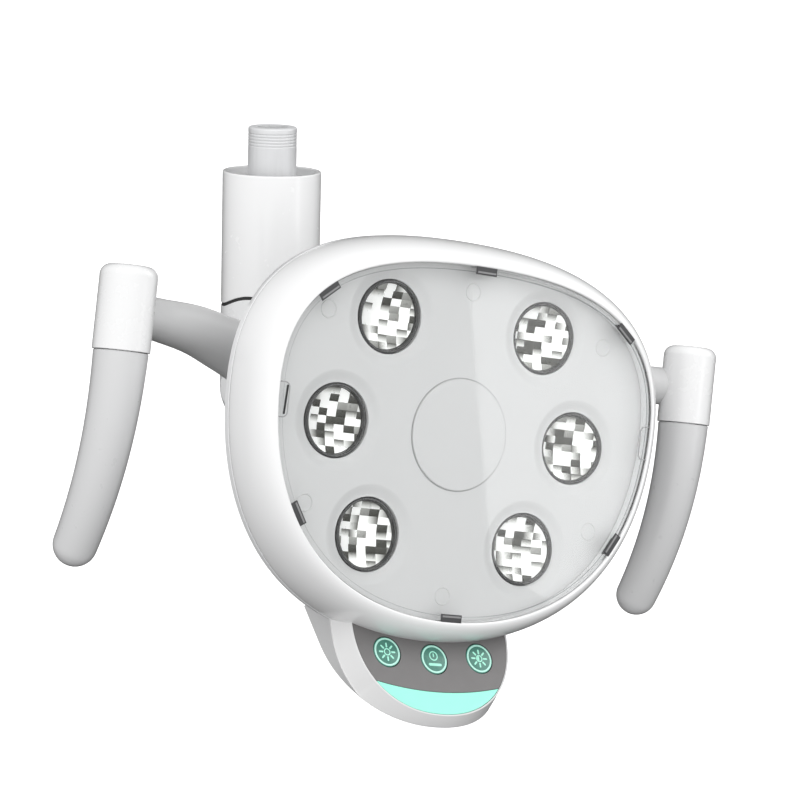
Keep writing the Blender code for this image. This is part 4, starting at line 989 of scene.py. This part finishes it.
def band(inner, outer, start=0, end=360, x=0.0, z=0.0, y=0.0, high=0.00016):
    """A raised ring, or part of one, on a key's face."""
    if end - start >= 360:
        return plate([circle(outer, x, z, 72), circle(inner, x, z, 72)], high, y)
    turns = np.radians(np.linspace(start, end, 40))
    outline = [(x + outer * math.cos(t), z + outer * math.sin(t)) for t in turns]
    outline += [(x + inner * math.cos(t), z + inner * math.sin(t)) for t in turns[::-1]]
    return plate([outline], high, y)


def sun(filled):
    """The brightness symbol: a ring with eight rays, half filled for the brighter key."""
    shapes = [band(0.0013, 0.0019)]
    if filled:
        half = [(0.0016 * math.cos(t), 0.0016 * math.sin(t)) for t in np.radians(np.linspace(90, 270, 24))]
        shapes.append(plate([half], 0.00016, 0.0))
    for i in range(8):
        x = math.cos(math.pi / 4 * i)
        z = math.sin(math.pi / 4 * i)
        shapes.append(bar(0.0027 * x, 0.0027 * z, 0.0043 * x, 0.0043 * z, 0.0009))
    return shapes


def build_keys():
    """Three keys, each with a pale ring and its symbol on the face."""
    for name, x, z in KEY_PLACES:
        matrix = POD @ shift(x, 0.0012, z)
        r = KEY_RADIUS
        profile = [(0, 0.0008)] + arc((r - 0.0004, 0.0004), 0.0004, 90, 0, 5) + [(r, -0.0008), (0, -0.0008)]
        key = make(f"{name}_button", [lathe(profile, 112)], matrix @ TOWARDS_VIEWER)
        finish(key, f"{name}_key", "key_teal", f"key_{name}")
        face = matrix @ shift(0, -0.0008, 0)
        ring = make(f"{name}_ring", [band(0.0063, 0.0072)], face)
        finish(ring, f"{name}_key", "key_teal", material=ICON_RING)
        if name == "power":
            shapes = [band(0.0019, 0.0025, x=-0.0002, z=0.0017)]
            shapes.append(bar(-0.0002, 0.0014, -0.0002, 0.0028, 0.0006))
            shapes.append(bar(-0.0030, -0.0028, 0.0032, -0.0028, 0.0014))
        else:
            shapes = sun(name == "mode")
        symbol = make(f"{name}_symbol", shapes, face)
        finish(symbol, f"{name}_key", "key_teal", material=ICON_MINT)


# Handles

def smooth_path(stations, steps=10):
    """Catmull-Rom points through (x, y, z, radius) stations."""
    s = np.array(stations)
    s = np.vstack([2 * s[0] - s[1], s, 2 * s[-1] - s[-2]])
    out = []
    for i in range(1, len(s) - 2):
        for t in np.linspace(0, 1, steps, endpoint=False):
            a, b, c, d = s[i - 1], s[i], s[i + 1], s[i + 2]
            out.append(0.5 * (2 * b + (c - a) * t + (2 * a - 5 * b + 4 * c - d) * t**2
                              + (3 * b - a - 3 * c + d) * t**3))
    out.append(s[-2])
    return np.array(out)


def build_yoke():
    """The casting: hub and both arms melted together by a remesh, then the machined bore surfaces."""
    hub = [(0.0168, -0.0404), (0.0216, -0.0404), (0.0220, -0.0408), (0.0220, -0.0646), (0.0286, -0.0646)]
    hub += arc((0.0286, -0.0660), 0.0014, 90, 0, 6) + [(0.0300, -0.0990)]
    hub += arc((0.0258, -0.0998), 0.0042, 0, -90, 8)
    hub += [(0.0126, -0.1040), (0.0126, -0.0540), (0.0168, -0.0540)]
    hub_place = shift(0, 0, HUB_HEIGHT) @ TOWARDS_VIEWER
    shapes = [moved(lathe(hub, 128), hub_place)]
    for sign in (-1, 1):
        path = smooth_path([(sign * x, y, z, r) for x, y, z, r in ARM_PATH])
        shapes.append(sweep(path[:, :3], path[:, 3], 72))
        eye = [(0, 0.0538), (0.0106, 0.0538), (0.0114, 0.0530)]
        eye += [(0.0114, 0.0292), (0.0106, 0.0284), (0, 0.0284)]
        shapes.append(moved(lathe(eye, 72), shift(sign * HANDLE_X, HANDLE_Y, 0)))
    yoke = make("yoke_casting", shapes, HEAD)
    remesh = yoke.modifiers.new("melt", "REMESH")
    remesh.mode = "VOXEL"
    remesh.voxel_size = 0.0009
    relax = yoke.modifiers.new("relax", "SMOOTH")
    relax.factor = 0.5
    relax.iterations = 14
    mesh = evaluated_mesh(yoke)
    yoke.modifiers.clear()
    yoke.data = mesh
    mesh.shade_smooth()
    bore = moved(rod(0.0126, -0.05, -0.11, 96), hub_place)
    cut(yoke, [bore], HEAD)
    finish(yoke, "head", "yoke_white", "handle_yoke")


def build_handle(side, sign):
    """The hollow cap over the arm's end, and the curved grip that pulls off below it."""
    place = HEAD @ shift(sign * HANDLE_X, HANDLE_Y, 0)
    r = HANDLE_CAP_RADIUS
    edge = 0.0052
    profile = [(0, CAP_TOP), (r - edge - 0.002, CAP_TOP - 0.0001)]
    profile += arc((r - edge, CAP_TOP - edge), edge, 84, 0, 12)
    profile += [(r, CAP_SEAM + 0.0005)] + arc((r - 0.0003, CAP_SEAM + 0.0003), 0.0003, 0, -90, 3)
    inner = r - 0.0017
    profile += [(inner, CAP_SEAM), (inner, CAP_TOP - 0.0054)]
    profile += [(inner - 0.003, CAP_TOP - 0.0024), (0, CAP_TOP - 0.0024)]
    cap = make(f"post_cap_{side}", [lathe(profile, 112)], place)
    finish(cap, "head", "cap_white", f"handle_cap_{side}")

    drops = np.linspace(0, GRIP_LENGTH, 161)
    path = np.stack([GRIP_SWEEP * (drops / GRIP_LENGTH) ** GRIP_SWEEP_POWER, -drops], 1)
    steps = 56
    path = resampled(path, steps)
    stations = [(0.0, 0.0, GRIP_RADIUS - 0.0004), (0.0, -0.0003, GRIP_RADIUS - 0.0001)]
    stations.append((0.0, -0.0007, GRIP_RADIUS))
    for i, (back, drop) in enumerate(path[1:], 1):
        stations.append((back, drop, GRIP_RADIUS + (GRIP_TIP_RADIUS - GRIP_RADIUS) * i / steps))
    tip = path[-1]
    heading = (path[-1] - path[-2]) / np.linalg.norm(path[-1] - path[-2])
    for turn in np.radians(np.linspace(8, 88, 14)):
        point = tip + heading * GRIP_TIP_RADIUS * math.sin(turn)
        stations.append((point[0], point[1], GRIP_TIP_RADIUS * math.cos(turn)))
    body = sweep([(0, a, b) for a, b, _ in stations], [c for _, _, c in stations], 96)
    grip = make(f"grip_sleeve_{side}", [body], place @ shift(0, 0, CAP_SEAM - GAP))
    cut(grip, [rod(0.0093, 0.002, -0.0270, 64)], place @ shift(0, 0, CAP_SEAM))
    finish(grip, f"{side}_grip", "grip_grey", f"grip_{side}")


def dress_nodes():
    """The CAD nodes that stay visible take the procedural material of their slot."""
    slots = {entry["node"]: entry["material_slot"] for entry in frame["record"]["subparts"]}
    for name, node in frame["nodes"].items():
        node.data.materials.clear()
        node.data.materials.append(MATERIALS[slots[name]])


# Studio

def set_world():
    """White to the camera. As light, it is brightest in front and to the left, and dim behind and below."""
    world = bpy.data.worlds.new("studio")
    bpy.context.scene.world = world
    world.use_nodes = True
    tree = world.node_tree
    link = tree.links.new
    tree.nodes.clear()
    coordinates = add(tree, "TexCoord")
    front = add(tree, "VectorMath")
    front.operation = "DOT_PRODUCT"
    front.inputs[1].default_value = Vector((-0.62, -0.76, 0.20)).normalized()
    separate = add(tree, "SeparateXYZ")
    link(coordinates.outputs["Generated"], front.inputs[0])
    link(coordinates.outputs["Generated"], separate.inputs[0])
    total = add(tree, "Math")
    link(ranged(tree, front.outputs["Value"], 0.05, 1.66, -0.9, 0.9), total.inputs[0])
    link(ranged(tree, separate.outputs["Z"], -0.72, 0.14, -0.8, 0.2), total.inputs[1])
    floored = add(tree, "Math")
    floored.operation = "MAXIMUM"
    floored.inputs[1].default_value = 0.02
    link(total.outputs[0], floored.inputs[0])
    light = add(tree, "Background")
    link(floored.outputs[0], light.inputs["Strength"])
    seen = add(tree, "Background", Strength=1.0, Color=(1, 1, 1, 1))
    path = add(tree, "LightPath")
    blend = add(tree, "MixShader")
    link(path.outputs["Is Camera Ray"], blend.inputs[0])
    link(light.outputs[0], blend.inputs[1])
    link(seen.outputs[0], blend.inputs[2])
    output = add(tree, "OutputWorld")
    link(blend.outputs[0], output.inputs["Surface"])


def soft_light(name, place, target, size, power):
    data = bpy.data.lights.new(name, "AREA")
    data.size = size
    data.energy = power
    light = bpy.data.objects.new(name, data)
    light.location = place
    light.rotation_euler = (target - place).to_track_quat("-Z", "Y").to_euler()
    bpy.context.scene.collection.objects.link(light)


def stage_material(name, strength):
    material, _, shader = new_material(name)
    set_inputs(shader, Base_Color=(0.93, 0.93, 0.93, 1), Roughness=0.9)
    set_inputs(shader, Emission_Color=(1, 1, 1, 1), Emission_Strength=strength)
    return material


def set_stage():
    """A wide pale floor far below, and one card whose reflection lies across the clear cover."""
    sides = ((-1, -1), (1, -1), (1, 1.5), (-1, 1.5))
    corners = [(x * FLOOR_REACH, y * FLOOR_REACH, -FLOOR_DROP) for x, y in sides]
    floor = make("pale_floor", [(corners, [(0, 1, 2, 3)])])
    floor.data.materials.append(stage_material("pale_floor", 0.62))
    floor.visible_diffuse = False
    floor.visible_glossy = False
    seen = reflected_camera()
    corners = []
    for x, z in CARD_SHADOW:
        point = Vector((x, LENS_FRONT, z))
        out = point - seen
        corners.append(tuple(point + out * (CARD_DISTANCE / -out.y)))
    card = make("reflection_card", [(corners, [(0, 1, 2, 3)])], HEAD)
    card.data.materials.append(stage_material("reflection_card", 2.6))
    card.visible_camera = False
    card.visible_diffuse = False
    card.visible_transmission = False
    card.visible_shadow = False


def reflected_camera():
    """The camera's mirror image behind the clear cover, in the head's frame."""
    place = HEAD.inverted() @ CAMERA_PLACE
    return Vector((place.x, 2 * LENS_FRONT - place.y, place.z))


def set_camera():
    data = bpy.data.cameras.new("photo_view")
    data.lens = LENS_LENGTH
    data.sensor_width = 36.0
    camera = bpy.data.objects.new("photo_view", data)
    right = Vector((0.83796, -0.54519, 0.02443)).normalized()
    up = Vector((0.08597, 0.17607, 0.98062))
    back = right.cross(up).normalized()
    camera.matrix_world = axes_matrix(right, back.cross(right), back, CAMERA_PLACE)
    bpy.context.scene.collection.objects.link(camera)
    bpy.context.scene.camera = camera


dress_nodes()
build_spigot()
build_sleeve()
build_elbow()
build_neck()
build_yoke()
build_bezel()
build_rear_shell()
build_face_panel()
build_lens()
build_clips()
for module in range(MODULES):
    build_module(module)
build_pod()
build_keys()
build_handle("left", -1)
build_handle("right", 1)

set_world()
set_stage()
set_camera()
soft_light("key", HEAD @ Vector((-0.9, -1.5, 1.5)), HEAD.translation, 1.2, 5.0)
soft_light("fill", HEAD @ Vector((0.55, -0.30, 0.50)), HEAD.translation, 0.5, 1.4)
bpy.context.scene.view_settings.view_transform = "Standard"
